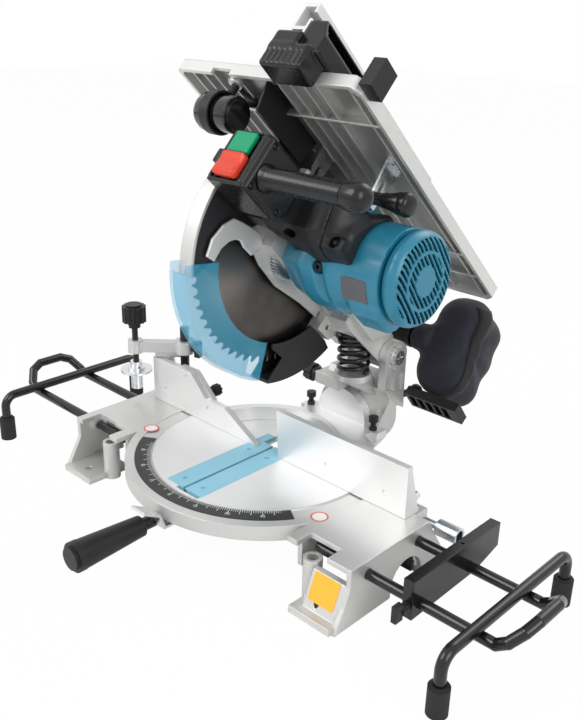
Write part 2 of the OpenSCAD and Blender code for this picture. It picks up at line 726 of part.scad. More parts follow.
module hinge_pin() color(c8) translate([0, pivot_y, pivot_z]) {
    xcyl(ear_left - ear_thick - 4, ear_right + ear_thick + 1, hinge_pin_r);
    difference() {
        xcyl(ear_right + ear_thick + 0.02, ear_right + ear_thick + 5, 9.6);
        for (a = [0, 90]) rotate([a, 0, 0])
            translate([ear_right + ear_thick + 3, -1, -7]) cube([4, 2, 14]);
    }
    xcyl(ear_left - ear_thick - 4, ear_left - ear_thick - 0.02, 10.5);
}
module bevel_lever() color(c3) translate([0, 0, table_height]) {
    ycyl(bevel_face_y + 4.6, pivot_y + 44, 9);
    ycyl(pivot_y + 32.4, pivot_y + 46, 14);
    translate([0, pivot_y + 40, 0]) rod([0, 0, 0], [58, 22, 30], 5);
    translate([58, pivot_y + 62, 30]) sphere(r = 9);
}
// a round wire swept along the spring's helix
function coil_point(i) = let (a = i * 15)
    [spring_x + spring_r * cos(a), spring_y + spring_r * sin(a), spring_z0 + (spring_z1 - spring_z0) * i / coil_rings];
function coil_ring(i, k) = let (a = i * 15, b = k * 45)
    coil_point(i) + spring_wire * [cos(b) * cos(a), cos(b) * sin(a), sin(b)];
module return_spring() color(c3) {
    rings = coil_rings;
    polyhedron(
        points = [for (i = [0:rings]) for (k = [0:7]) coil_ring(i, k)],
        faces = concat([[for (k = [0:7]) k]], [[for (k = [7:-1:0]) rings * 8 + k]],
            [for (i = [0:rings - 1]) for (k = [0:7])
                [i * 8 + k, (i + 1) * 8 + k, (i + 1) * 8 + (k + 1) % 8, i * 8 + (k + 1) % 8]]));
}
module stopper_pin() color(c3) translate([0, stopper_y, stopper_z]) {
    xcyl(-30, 12, 5);
    xcyl(-24, -16.4, 9);
    difference() {
        xcyl(-36, -24, 12);
        for (i = [0:7]) rotate([i * 45, 0, 0]) translate([0, 13, 0]) xcyl(-38, -22, 2.4, $fn = 24);
    }
}

// ---------- blade ----------
module saw_blade() color(c6) head() {
    n = blade_teeth;
    r = blade_r;
    step = 360 / n;
    pts = [for (i = [0:n - 1]) for (k = [0:3])
        let (a = (i + [0, 0.18, 0.62, 0.98][k]) * step, q = [r, r - 1.6, r - 7.5, r - 6.4][k])
        [q * cos(a), q * sin(a)]];
    difference() {
        side(-blade_body / 2, blade_body / 2) polygon(pts);
        xcyl(-10, 10, 15);
    }
}
module spindle() color(c8) head() {
    difference() {
        union() {
            xcyl(blade_body / 2, 4.5, 22);
            xcyl(-blade_body / 2 - 0.5, 27, 8);
            xcyl(-blade_body / 2 + 0.01, blade_body / 2, 14.95);
            xcyl(4.5, 9, 12);
            gear_shape();
        }
        xcyl(-20, 14, 4);
    }
}
module gear_shape() {
    n = gear_teeth;
    ro = gear_module * (n / 2 + 0.9);
    ri = gear_module * (n / 2 - 1.15);
    side(14, 22) polygon([for (i = [0:n - 1]) for (k = [0:3])
        let (a = (i + [-0.3, -0.13, 0.13, 0.3][k]) * 360 / n, q = [ri, ro, ro, ri][k])
        [q * cos(a), q * sin(a)]]);
}
module blade_bolt() color(c8) head() {
    xcyl(-5, -blade_body / 2 - 0.55, 20);
    translate([-10.5, 0, 0]) rotate([0, 90, 0]) cylinder(h = 5.6, r = 9, $fn = 6);
    xcyl(-6, 13, 3.98);
}
module lower_guard() color(c5) head() {
    a0 = 41;
    a1 = 117;
    i = guard_half - guard_wall;
    // outer band, right face and left face with its hub
    sector(-guard_half, guard_half, guard_r, guard_r - 3, a0, a1);
    sector(i, guard_half, guard_r - 0.5, 103, a0 - 4, a1);
    sector(-guard_half, -i, guard_r - 0.5, 32, a0 - 4, a1);
    xtube(-guard_half, -i, 36, 24 + run);
}

// ---------- blade case ----------
module blade_case() color(c0) head() {
    w = case_half;
    difference() {
        union() {
            // left wall
            intersection() {
                xcyl(-w, -w + 3, case_r);
                side(-w - 1, w) polygon([[-150, 84], [150, 84], [150, -17], [-20, -17],
                    [-case_r * cos(43), -case_r * sin(43)], [-160, -100]]);
            }
            // band in front of and over the blade
            intersection() {
                xtube(-w, w - 0.2, case_r, case_r - 3.7);
                side(-w - 1, w + 1) polygon([[0, 0], [-170 * cos(43), -170 * sin(43)], [-170, -60],
                    [-170, 84], [170, 84], [170, -20]]);
            }
            // hub ring of the guard
            xtube(-w - 4.2, -w + 1, 24, 20.5);
            // flange and gear housing
            side(10.2, 13) polygon([[-74, -22], [-60, 6], [-20, 40], [60, 66], [100, 66], [98, -27], [60, -29],
                [10, -36], [-28, -32], [-50, -25]]);
            side(13, 30) polygon([[-45, -15], [-45, 10], [-20, 38], [20, 62], [100, 62], [100, -19],
                [60, -18]]);
            // rear web to the hinge
            side(-w, 10.3) polygon([[132, -22], [132, 60], [100, 60], [120, 20], [120, -22]]);
            side(-w, 30) polygon([[130, -24], [130, 40], [150, 40], [184, 22], [184, -24]]);
            translate([duct_x, 0, duct_v]) ycyl(120, 206, nozzle_r - 2.8);
            side(4.5, 55.5) polygon([[100, -20], [100, 24], [140, 30], [200, 14], [214, 6], [200, -24],
                [120, -24]]);
            translate([0, blade_reach, -blade_rise]) xcyl(4.5, 55.5, 19);
            // right shoulder beside the hinge
            side(30, 66) polygon([[90, -12], [90, 30], [150, 34], [176, 20], [176, 6], [150, -16]]);
            // lug below the housing
            side(6, 24) polygon([[100, -40], [128, -40], [140, -19], [100, -17]]);
            // lugs for the table bolt
            side(13, 23.6) polygon([[-56, 6], [-52, 84], [-28, 84], [-20, 30]]);
        }
        translate([0, blade_reach, -blade_rise]) xcyl(-40, 90, hinge_pin_r + run);
        // gear chamber
        xcyl(13.5, 22.5, 28.6);
        translate([0, motor_u, motor_v]) xcyl(13.5, 31, 9);
        xcyl(9, 31, 12.2);
        xcyl(22, 27.4, 14);
        // pocket over the spring
        side(7.5, 52.5) polygon([[134, -30], [207, -30], [202, -21], [197, -12], [180, 9], [160, 9],
            [134, -8]]);
        // dust way behind the blade
        box([-w + 3, 98, -10], [w - 3, 138, 50]);
        translate([duct_x, 0, duct_v]) ycyl(110, 220, nozzle_r - 5.5);
        translate([15, 114, -30]) xcyl(-20, 20, 3);
        // table bolt
        translate([0, -40, 75]) xcyl(10, 30, 3);
        // room for the blade, and the hub bore
        xcyl(-w + 3, w - 3, case_r - 3.7);
        box([-w + 3, -30, -60], [w - 3, 131, 20]);
        xcyl(-30, -w + 4, 20.5);
    }
}
module case_cover() color(c3) head() {
    w = case_half;
    difference() {
        intersection() {
            xcyl(w - 2.5, w + 0.4, case_r - 3.8);
            side(w - 4, w + 1) polygon([[-160, 82], [99.7, 82], [99.7, -17], [-60, -17],
                [-90, -70], [-case_r * cos(43), -case_r * sin(43)], [-160, -90]]);
        }
        xcyl(0, 20, 26);
        intersection() {
            xcyl(0, 20, 101);
            box([0, -140, -120], [20, 140, -17]);
        }
    }
}
module dust_chute() color(c3) head() {
    difference() {
        union() {
            sector(-15, 15, 152.5, 149.5, 121, 163);
            sector(13, 15, 150, 104, 121, 163);
            sector(-15, -13, 150, 104, 121, 163);
        }
        // straight front lower edge
        box([-20, 40, -160], [20, 80.5, -94]);
        box([-40, 96, -40.3], [30, 150, 10]);
    }
}
module dust_nozzle() color(c3) head() {
    wall = 2.5;
    difference() {
        union() {
            translate([duct_x, 0, duct_v]) ycyl(190.4, nozzle_u, nozzle_r);
            translate([duct_x, nozzle_u, duct_v]) sphere(r = nozzle_r);
            translate([0, nozzle_u, duct_v]) xcyl(duct_x, bag_x - 52, nozzle_r);
        }
        translate([duct_x, 0, duct_v]) ycyl(189, nozzle_u, nozzle_r - wall);
        translate([duct_x, nozzle_u, duct_v]) sphere(r = nozzle_r - wall);
        translate([0, nozzle_u, duct_v]) xcyl(duct_x, bag_x - 44, nozzle_r - wall);
        box([-40, 180, duct_v - 22], [60, nozzle_u - 14, duct_v - 20]);
    }
}
module dust_bag() color(c7) head() {
    // collar and a rounded, hanging sack
    translate([0, nozzle_u, duct_v]) xcyl(bag_x - 51.7, bag_x - 30, nozzle_r + 0.6);
    translate([bag_x, bag_u, bag_v]) rotate([-8, 0, 0]) {
        sack(0, bag_r, bag_length);
        sack(bag_rear_r, bag_rear_r, bag_length + 10);
    }
}
module sack(y, r, h) translate([0, y, 0]) {
    cylinder(h = h, r = r, center = true);
    for (z = [-h / 2, h / 2]) translate([0, 0, z]) sphere(r = r);
}
module bag_clip() color(c3) head() {
    translate([bag_x, bag_u, bag_v]) rotate([-8, 0, 0])
        translate([0, 20, -bag_length / 2 - bag_r - 2.4]) difference() {
        box([-33, -16, -10], [46, 16, 2]);
        for (x = [-28:12.6:34]) box([x, -12, -11], [x + 9, 12, -4]);
    }
}

// ---------- motor ----------
module motor_housing() color(c4) head() {
    difference() {
        union() {
            translate([0, motor_u, motor_v]) xcyl(30.3, cap_x - 0.3, motor_r);
            // gear-side flange
            side(30.3, 46) polygon([[-24, -15], [-24, 12], [0, 40], [70, 70], [88, 40], [88, -20]]);
            side(46, 62) polygon([[-16, -10], [-16, 10], [0, 30], [60, 60], [80, 30], [80, -16]]);
            // lug of the table lock
            side(96, 111.6) polygon([[-30, 30], [lock_u - 9, 68], [lock_u - 9, 84], [lock_u + 9, 84],
                [4, 60], [10, 30]]);
            // foot below
            side(cap_x - 42, cap_x - 2) polygon([[12, -30], [20, -36], [52, -36], [60, -24], [60, -10], [12, -10]]);
        }
        translate([0, motor_u, motor_v]) {
            xcyl(40, cap_x + 1, motor_r - 4);
            xcyl(30, 45, 11.05);
        }
        xcyl(29, 36, 9);
        translate([0, lock_u, 75]) xcyl(90, 120, 3);
        // oval recess in the foot
        translate([cap_x - 22, 36, -38]) cylinder(h = 5, r = 10);
        // plain plate's seat
        translate([cap_x - 36, motor_u - 50.8, motor_v - 8]) cube([30, 0.8, 24], center = true);
    }
}
module motor_cap() color(c4) head() {
    difference() {
        translate([cap_x, motor_u, motor_v]) rotate([0, 90, 0]) rotate_extrude($fn = 96)
            polygon(concat([[0, 0], [motor_r, 0]],
                [for (i = [0:8]) let (a = i * 11.25)
                    [motor_r - 12 + 12 * cos(a), motor_end - cap_x - 12 + 12 * sin(a)]],
                [[0, motor_end - cap_x]]));
        translate([0, motor_u, motor_v]) {
            xcyl(cap_x - 0.3, motor_end - 3, 34);
            xcyl(cap_x - 0.3, motor_end - 14, motor_r - 4);
            // vents: slanted slots in the face and the shoulder
            for (i = [-4:4]) rotate([-35, 0, 0]) translate([motor_end - 16, i * 8 - 1.8, 16])
                cube([20, 3.6, 60]);
            for (i = [-4:4]) rotate([-35, 0, 0]) translate([motor_end - 16, i * 8 - 1.8, -60])
                cube([20, 3.6, 44]);
            rotate([-35, 0, 0]) for (i = [-3:3]) translate([motor_end - 6, i * 7 - 1.6, -12])
                cube([10, 3.2, 24]);
        }
    }
}
module stator() color(c6) head() translate([0, motor_u, motor_v]) {
    xtube(cap_x - 70, cap_x - 20, motor_r - 4, 29);
    xtube(cap_x - 76, cap_x - 70, 43, 31);
    xtube(cap_x - 20, cap_x - 15, 43, 31);
}
module armature() color(c8) head() translate([0, motor_u, motor_v]) {
    n = pinion_teeth;
    ro = gear_module * (n / 2 + 0.75);
    ri = gear_module * (n / 2 - 1.2);
    // pinion, shaft, fan, core and commutator
    rotate([mesh_angle, 0, 0]) side(14.5, 21.5) polygon([for (i = [0:n - 1]) for (k = [0:3])
        let (a = (i + 0.5 + [-0.27, -0.1, 0.1, 0.27][k]) * 360 / n, q = [ri, ro, ro, ri][k])
        [q * cos(a), q * sin(a)]]);
    xcyl(21.4, motor_end - 8, 4);
    xcyl(34, 44, 11);
    difference() {
        xcyl(48, 57, 44);
        for (i = [0:11]) rotate([i * 30, 0, 0]) translate([50, -2, 16]) cube([8, 22, 30]);
    }
    difference() {
        xcyl(cap_x - 68, cap_x - 22, 28);
        for (i = [0:11]) rotate([i * 30, 0, 0]) translate([cap_x - 76, -1.5, 20]) cube([60, 3, 9]);
    }
    xcyl(cap_x - 14, cap_x - 2, 14);
    xcyl(motor_end - 13, motor_end - 7, 9);
}
module handle_bracket() color(c3) head() {
    difference() {
        union() {
            side(30.3, 92) polygon([[-86, 4], [-86, 46], [-40, 78], [44, 80], [56, 60], [40, 30],
                [-20, 4]]);
            side(92, 122) polygon([[-50, 0], [-50, 22], [-36, 29.9], [0, 29.9], [0, 0]]);
            side(15, 30) polygon([[-90, -6], [-90, 50], [-58, 58], [-58, 6], [-72, -6]]);
            side(15, 44) polygon([[-90, -6], [-90, 50], [-70, 58], [-70, -6]]);
        }
        translate([0, motor_u, motor_v]) xcyl(0, 200, motor_r + 0.02);
        side(0, 46.02) polygon([[-24.02, -16], [-24.02, 12.02], [0, 40.02], [70, 70.02], [90, 70], [90, -20]]);
        side(0, 62.02) polygon([[-16, -10], [-16, 10], [0, 30], [60, 60], [90, 60], [90, -20]]);
        box([12, -60, 0], [30.2, 60, 90]);
        translate([38, -72, 30]) xcyl(-1, 60, 3);
        translate([60, 0, 66]) ycyl(-60, -42, 5);
    }
}
module switch_box() color(c3) head() {
    difference() {
        union() {
            side(15, 74) polygon([[-161, -8], [-159, -10], [-104, -10], [-90.3, 0], [-90.3, 44],
                [-112, 52], [-159, 52], [-161, 50]]);
            face(-164, -161) polygon([[22, -6], [67, -6], [67, 50], [22, 50]]);
        }
        box([18, -158, -7], [71, -100, 40]);
        box([25.7, -170, 23.7], [55.3, -150, 48.3]);
        box([27.7, -170, -5.3], [60.3, -150, 22.3]);
    }
}
module start_button() color([0.05, 0.6, 0.4]) head() box([26, -165.5, 24], [55, -159.5, 48]);
module stop_button() color([0.9, 0.2, 0.12]) head() {
    difference() {
        box([28, -171, -5], [60, -159.5, 22]);
        translate([44, -190, 8]) rotate([0, 90, 0]) cylinder(h = 60, r = 21, center = true);
    }
}
module front_grip() color(c3) head() translate([0, -142, 14]) {
    xcyl(74.3, 80, grip_r + 2.5);
    xcyl(80, 74.3 + grip_length, grip_r);
    translate([74.3 + grip_length, 0, 0]) {
        sphere(r = grip_r + 2.5);
        xcyl(-6, 0, grip_r + 2.5);
    }
}
module table_lock() color(c3) head() translate([0, lock_u, 75]) {
    xcyl(98, 118, 2.9);
    xcyl(114.9, 124, 7);
    translate([124, 0, 0]) rotate([0, 90, 0]) rotate_extrude()
        polygon([[0, 0], [8, 0], [12.5, 24], [13, 34], [11, 38], [0, 38]]);
}

// ---------- upper table ----------
module upper_table() color(c1) head() {
    u = top_height - top_plate;
    b = top_height - top_rim;
    difference() {
        union() {
            difference() {
                top_outline(b, top_height, 0);
                top_outline(b - 1, u, 4.5);
            }
            for (x = [-92, -74, -56, -38, -20, 36, 54, 72, 90, 132])
                box([x - 0.9, -top_front + 2, u - 7], [x + 0.9, top_rear - 2, u + 1]);
            for (y = [-112, 120, 170]) box([-top_left + 2, y - 1.2, u - 8], [top_right - 2, y + 1.2, u + 1]);
        }
        // blade slot, and the step in the front rim
        box([-3.2, -100, b - 2], [3.6, 100, top_height + 1]);
        box([-54, -top_front - 1, b - 1], [-26, -top_front + 12, b + 6]);
    }
    // lamp boss
    translate([lamp_x, lamp_u - 2, b - 2]) cylinder(h = top_rim - 1, r = 8);
}
module top_outline(z0, z1, inset) {
    l = -top_left + inset;
    r = top_right - inset;
    f = -top_front + inset;
    k = top_rear - inset;
    cnr = 10;
    translate([0, 0, z0]) linear_extrude(z1 - z0) polygon([[l + 4, f], [r - cnr, f], [r, f + cnr],
        [r, k - cnr], [r - cnr, k], [l + cnr, k], [l, k - cnr], [l, f + 4]]);
}
module table_brackets() color(c8) head() {
    u = top_height - top_plate;
    for (p = [[23.9, -40], [112, lock_u]]) {
        difference() {
            union() {
                side(p[0], p[0] + 2.6) polygon([[p[1] - 13, u], [p[1] + 15, u], [p[1] + 7, 64],
                    [p[1] - 7, 64]]);
                box([p[0], p[1] - 13, u - 2.6], [p[0] + 10.6, p[1] + 15, u]);
            }
            side(p[0] - 1, p[0] + 4) polygon([[p[1] - 3.3, 71.5], [p[1] + 3.3, 71.5],
                [p[1] + 3.3, 96], [p[1] - 3.3, 96]]);
            translate([p[0] + 6.6, p[1] - 7, 100]) cylinder(h = 30, r = 2.2);
        }
    }
}
module table_bolt() color(c8) head() translate([0, -40, 75]) {
    xcyl(13.2, 30, 2.95);
    translate([26.6, 0, 0]) rotate([0, 90, 0]) cylinder(h = 3.4, r = 6, $fn = 6);
}
module table_skirt() color(c3) head() {
    u = top_height - top_plate;
    difference() {
        side(14, 16.5) polygon([[-158, u], [-150, 84], [-60, 84], [-54, u]]);
        box([13, -114, u - 8.3], [17, -110, u + 1]);
    }
    box([14, -150, u - 2], [28, -116, u]);
    edge_block();
}
module rip_fence() color(c1) head() {
    z = top_height + 0.4;
    difference() {
        box([rip_x, -199, z], [rip_x + 20, 85, z + rip_height]);
        box([rip_x + 3, -200, z + 30], [rip_x + 17, 90, z + rip_height - 4]);
        box([rip_x + 3, -200, z + 4], [rip_x + 17, 90, z + 26]);
        box([rip_x + 12, -200, z + 40], [rip_x + 21, 90, z + 48]);
    }
}
module fence_carrier() color(c3) head() {
    z = top_height + 0.4;
    b = top_height - top_rim;
    difference() {
        union() {
            box([rip_x + 20.02, -199, z], [rip_x + 51, 85, z + 39]);
            box([rip_x - 8, -206, z], [rip_x + 26, -199.02, z + 20]);
            box([rip_x - 8, -206, b - 8], [rip_x + 46, -top_front - 0.5, z + 6]);
            box([rip_x - 2, -206, b - 8], [rip_x + 40, -top_front + 6, b - 0.5]);
        }
        box([rip_x + 24, -196, z + 3], [rip_x + 47, 82, z + 36]);
        box([rip_x - 1, -199.02, z], [rip_x + 20.02, -170, z + 40]);
    }
}
module edge_block() {
    difference() {
        box([top_right + 0.02, -175, 110], [top_right + 15, -151, 141]);
        box([top_right + 4, -171, 122], [top_right + 11, -155, 142]);
    }
}
module lamp() color(c3) head() translate([0, lamp_u, lamp_v]) {
    xcyl(-42, 2, lamp_r);
    translate([-42, 0, 0]) rotate([0, -90, 0]) rotate_extrude()
        polygon(concat([[0, 0]], [for (i = [0:8]) [lamp_r * cos(i * 11.25), 9 * sin(i * 11.25)]]));
    xcyl(2, 4.6, lamp_r - 4.5);
}
module lamp_bracket() color(c3) head() translate([lamp_x, lamp_u, lamp_v]) {
    difference() {
        union() {
            xtube(-6, 6, lamp_r + 2.5, lamp_r + run);
            translate([0, 0, lamp_r + 1.5]) cylinder(h = lamp_drop - 2 - lamp_r - 1.5, r = 4.5);
        }
        xcyl(-20, 20, lamp_r + run);
    }
}

// ---------- what is drawn ----------
base_casting();
mitre_scale();
guide_fence();
fence_bolts();
socket_wrench();
sub_fence();
sub_fence_knob();
holder_right();
holder_right_caps();
holder_left();
holder_left_caps();
set_plate();
set_plate_screw();
holder_screw_right();
holder_screw_left();
vise_rod();
vise_arm();
vise_lock();
vise_screw();
vise_foot();
turntable();
kerf_board_left();
kerf_board_right();
stop_bolts();
grip_shaft();
mitre_grip();
index_lever();
bevel_arm();
hinge_pin();
bevel_lever();
return_spring();
stopper_pin();
saw_blade();
spindle();
blade_bolt();
lower_guard();
blade_case();
case_cover();
dust_chute();
dust_nozzle();
dust_bag();
bag_clip();
motor_housing();
motor_cap();
stator();
armature();
handle_bracket();
switch_box();
start_button();
stop_button();
front_grip();
table_lock();
upper_table();
table_brackets();
table_bolt();
table_skirt();
rip_fence();
fence_carrier();
lamp();
lamp_bracket();
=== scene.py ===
# %% [markdown]
# # A table-top combination saw
# The solids of this saw come ready made, packed as a frame with bodies and joints. Here they get their
# looks. Each new piece is a surface worked out with numpy in the same frame, in metres: +X is the
# operator's right, +Y is away from the operator, +Z is up.

# %% Load the frame
import json
import math

import bpy
import numpy as np
from mathutils import Matrix, Vector


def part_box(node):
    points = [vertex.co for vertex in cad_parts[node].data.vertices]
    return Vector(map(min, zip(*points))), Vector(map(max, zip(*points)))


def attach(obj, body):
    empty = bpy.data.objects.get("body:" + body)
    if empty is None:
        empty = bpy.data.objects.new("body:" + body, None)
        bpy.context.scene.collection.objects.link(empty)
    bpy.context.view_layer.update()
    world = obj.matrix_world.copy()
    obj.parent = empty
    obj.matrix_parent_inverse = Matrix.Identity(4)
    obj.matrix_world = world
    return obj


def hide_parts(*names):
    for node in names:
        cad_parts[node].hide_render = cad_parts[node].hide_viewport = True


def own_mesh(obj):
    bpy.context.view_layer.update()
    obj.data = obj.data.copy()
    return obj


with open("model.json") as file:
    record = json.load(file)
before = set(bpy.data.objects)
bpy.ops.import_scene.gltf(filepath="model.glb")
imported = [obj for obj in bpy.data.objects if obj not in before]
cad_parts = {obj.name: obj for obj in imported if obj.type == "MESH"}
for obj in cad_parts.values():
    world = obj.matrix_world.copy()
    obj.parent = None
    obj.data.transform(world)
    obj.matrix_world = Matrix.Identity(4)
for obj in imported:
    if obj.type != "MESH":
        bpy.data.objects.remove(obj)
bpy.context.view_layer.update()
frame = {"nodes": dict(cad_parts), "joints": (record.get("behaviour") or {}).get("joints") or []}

NODES = frame["nodes"]
MM = 0.001
JOINTS = {joint["name"]: joint for joint in frame["joints"]}
BLADE_CENTRE = Vector(JOINTS["blade_spin"]["pos_m"])
RAISED = math.radians(JOINTS["head_lower"]["range_deg"][1])
HINGE_Y, HINGE_Z = 168, 166
HINGE_BACK, HINGE_DROP = 210.3, 6.8

# %% [markdown]
# The camera comes first. It is a plain perspective camera that stands in front and to the right, a
# little above the saw, so its matrix is written from three angles and a place.

# %% Camera
CAMERA_TURN = math.radians(43.58)
CAMERA_DIP = math.radians(22.27)
CAMERA_ROLL = math.radians(1.31)
CAMERA_PLACE = Vector((0.69299, -0.68565, 0.58817))


def make_camera():
    """Looks along (-sin t cos d, cos t cos d, -sin d), with its up direction rolled by a small angle."""
    t, d, r = CAMERA_TURN, CAMERA_DIP, CAMERA_ROLL
    ahead = Vector((-math.sin(t) * math.cos(d), math.cos(t) * math.cos(d), -math.sin(d)))
    right = Vector((math.cos(t), math.sin(t), 0))
    up = right.cross(ahead)
    side = right * math.cos(r) + up * math.sin(r)
    top = up * math.cos(r) - right * math.sin(r)
    data = bpy.data.cameras.new("camera")
    data.sensor_fit = "VERTICAL"
    data.sensor_height = 36
    data.lens = 44.46
    camera = bpy.data.objects.new("camera", data)
    turn = Matrix((side, top, -ahead)).transposed().to_4x4()
    camera.matrix_world = Matrix.Translation(CAMERA_PLACE) @ turn
    bpy.context.scene.collection.objects.link(camera)
    bpy.context.scene.camera = camera


make_camera()
bpy.context.scene.view_settings.view_transform = "Standard"
print("camera at", tuple(CAMERA_PLACE))

# %% [markdown]
# Shader sums are easier to read as Python sums. A Value wraps one socket, and an expression on values
# adds the Math nodes that it needs. A Finish holds one material and has one method that adds any node.

# %% Shader helpers
class Value:
    """A number socket that can be added, multiplied and compared."""

    def __init__(self, finish, socket):
        self.finish, self.socket = finish, socket

    def math(self, operation, other=None):
        inputs = [self.socket] + [getattr(o, "socket", o) for o in (other,) if o is not None]
        return Value(self.finish, self.finish.node("ShaderNodeMath", {"operation": operation}, inputs))

    def __add__(self, other):
        return self.math("ADD", other)

    def __radd__(self, other):
        return self.math("ADD", other)

    def __sub__(self, other):
        return self.math("SUBTRACT", other)

    def __rsub__(self, other):
        return (self * -1) + other

    def __mul__(self, other):
        return self.math("MULTIPLY", other)

    def __rmul__(self, other):
        return self.math("MULTIPLY", other)

    def __truediv__(self, other):
        return self.math("DIVIDE", other)

    def __pow__(self, other):
        return self.math("POWER", other)

    def __gt__(self, other):
        return self.math("GREATER_THAN", other)

    def __lt__(self, other):
        return self.math("LESS_THAN", other)

    def sin(self):
        return self.math("SINE")

    def abs(self):
        return self.math("ABSOLUTE")

    def fraction(self):
        return self.math("FRACT")

    def clamp(self):
        return self.math("MINIMUM", 1.0).math("MAXIMUM", 0.0)


class Finish:
    """One material with a Principled shader, and a method that adds a node and returns its output."""

    def __init__(self, name, color, rough, metal=0.0):
        self.material = bpy.data.materials.new(name)
        self.material.use_nodes = True
        self.tree = self.material.node_tree
        self.shader = self.tree.nodes["Principled BSDF"]
        self.set(**{"Base Color": (*color, 1), "Roughness": rough, "Metallic": metal})

    def set(self, **sockets):
        for name, value in sockets.items():
            self.plug(self.shader.inputs[name], value)
        return self

    def plug(self, socket, value):
        value = getattr(value, "socket", value)
        if isinstance(value, bpy.types.NodeSocket):
            self.tree.links.new(value, socket)
        else:
            socket.default_value = value

    def node(self, kind, settings, inputs, output=0):
        new = self.tree.nodes.new(kind)
        for name, value in settings.items():
            if name == "stops":
                ramp(new.color_ramp, value)
            else:
                setattr(new, name, value)
        pairs = inputs.items() if isinstance(inputs, dict) else enumerate(inputs)
        for key, value in pairs:
            self.plug(new.inputs[key], value)
        return new.outputs[output]

    def place(self):
        return self.node("ShaderNodeTexCoord", {}, {}, "Object")

    def noise(self, scale, detail=3.0, place=None):
        inputs = {"Vector": place or self.place(), "Scale": scale, "Detail": detail}
        return Value(self, self.node("ShaderNodeTexNoise", {}, inputs, 0))

    def axes(self, place=None):
        split = self.tree.nodes.new("ShaderNodeSeparateXYZ")
        self.tree.links.new(place or self.place(), split.inputs[0])
        return [Value(self, split.outputs[i]) for i in range(3)]

    def mix(self, factor, first, second):
        inputs = {"Factor": factor, "A": first, "B": second}
        new = self.tree.nodes.new("ShaderNodeMix")
        new.data_type = "RGBA"
        for socket, value in zip((new.inputs[0], new.inputs[6], new.inputs[7]), inputs.values()):
            self.plug(socket, value if not isinstance(value, tuple) else (*value[:3], 1))
        return new.outputs[2]

    def bump(self, height, distance, strength=1.0, rounding=0.0):
        inputs = {"Height": height, "Distance": distance, "Strength": strength}
        if rounding:
            edge = self.node("ShaderNodeBevel", {"samples": 4}, {"Radius": rounding})
            inputs["Normal"] = edge
        self.set(Normal=self.node("ShaderNodeBump", {}, inputs))
        return self


def ramp(target, stops):
    """Sets a colour ramp to a list of (position, colour)."""
    while len(target.elements) < len(stops):
        target.elements.new(0.5)
    for element, (position, color) in zip(target.elements, stops):
        element.position = position
        element.color = (*color, 1)


print("helpers ready")

# %% [markdown]
# Die-cast parts are sprayed with a silver lacquer: slightly uneven, soft edges, a fine grain. The grain
# is noise at two scales, and the soft edges come from a Bevel node under the bump.

# %% Cast silver
def cast_silver():
    """Wide noise drifts the lacquer's colour and gloss, and fine noise is its grain."""
    f = Finish("cast silver", (0.64, 0.64, 0.62), 0.36, 0.6)
    broad = f.noise(14, 2)
    fine = f.noise(900, 2)
    f.set(**{"Base Color": f.mix(broad, (0.58, 0.575, 0.56), (0.70, 0.695, 0.68))})
    f.set(Roughness=0.33 + 0.12 * broad)
    return f.bump(fine, 0.0002, 0.35, 0.0016)


CAST = cast_silver()
print("made", CAST.material.name)

# %% [markdown]
# Fence, turntable and tables are machined aluminium. A cutter leaves fine straight lines, so the noise
# is stretched along one axis.

# %% Machined aluminium
def machined(name, stretch, color=(0.80, 0.80, 0.80), metal=0.55, edge=0.0006):
    """Noise stretched by the given factors makes the cutter's lines; its mean is the metal's colour."""
    f = Finish(name, color, 0.34, metal)
    lines = f.node("ShaderNodeMapping", {}, {"Vector": f.place(), "Scale": stretch})
    grain = f.noise(60, 3, lines)
    cloud = f.noise(9, 2)
    dark = tuple(0.90 * c for c in color)
    light = tuple(min(1.0, 1.05 * c) for c in color)
    f.set(**{"Base Color": f.mix(0.5 * grain + 0.5 * cloud, dark, light)})
    f.set(Roughness=0.26 + 0.18 * grain)
    return f.bump(grain, 0.0001, 0.25, edge)


FENCE = machined("milled fence", (1, 30, 60))
TABLE = machined("milled table", (40, 1, 1))
EXTRUSION = machined("drawn aluminium", (40, 1, 1))


def head_axes(f):
    """x, u and v of the raised head, in metres, from the frame's own axes."""
    x, y, z = f.axes()
    c, s = math.cos(RAISED), math.sin(RAISED)
    y, z = y - HINGE_Y * MM, z - HINGE_Z * MM
    return x, y * c - z * s + HINGE_BACK * MM, y * s + z * c - HINGE_DROP * MM


def pan_finish():
    """The upper table: bright outside, and painted shade on the pan between the bright rib edges."""
    f = machined("cast table", (30, 1, 1), (0.78, 0.78, 0.76), 0.5, 0.002)
    x, u, v = head_axes(f)
    # painted shade: the recessed pan is dark grey and more metallic, standing for the shade on it
    painted_pan_shade = ((x - 0.0193).abs() < 0.1252) * (u > -0.1684) * (u < 0.2164) * (v < 0.1172) * (v > 0.1099)
    f.set(**{"Base Color": f.mix(painted_pan_shade, (0.72, 0.72, 0.70), (0.46, 0.46, 0.445))})
    f.set(Metallic=0.5 + 0.15 * painted_pan_shade)
    return f


PAN = pan_finish()
print("made four machined finishes")

# %% [markdown]
# Plastic mouldings: a fine leather-like grain on the black ones, a smoother gloss on the blue ones.

# %% Plastics and paint
def moulded(name, color, rough, grain_scale, grain_depth, coat=0.0, shine=0.3):
    """A moulded plastic: the colour drifts a little, and cells give the grain of the mould."""
    f = Finish(name, color, rough)
    cloud = f.noise(20, 2)
    grain = f.noise(grain_scale, 2)
    dark = tuple(0.85 * c for c in color)
    light = tuple(1.12 * c for c in color)
    f.set(**{"Base Color": f.mix(cloud, dark, light), "Coat Weight": coat, "Specular IOR Level": shine})
    f.set(Roughness=rough - 0.06 + 0.14 * grain)
    return f.bump(grain, grain_depth, 0.4, 0.0012)


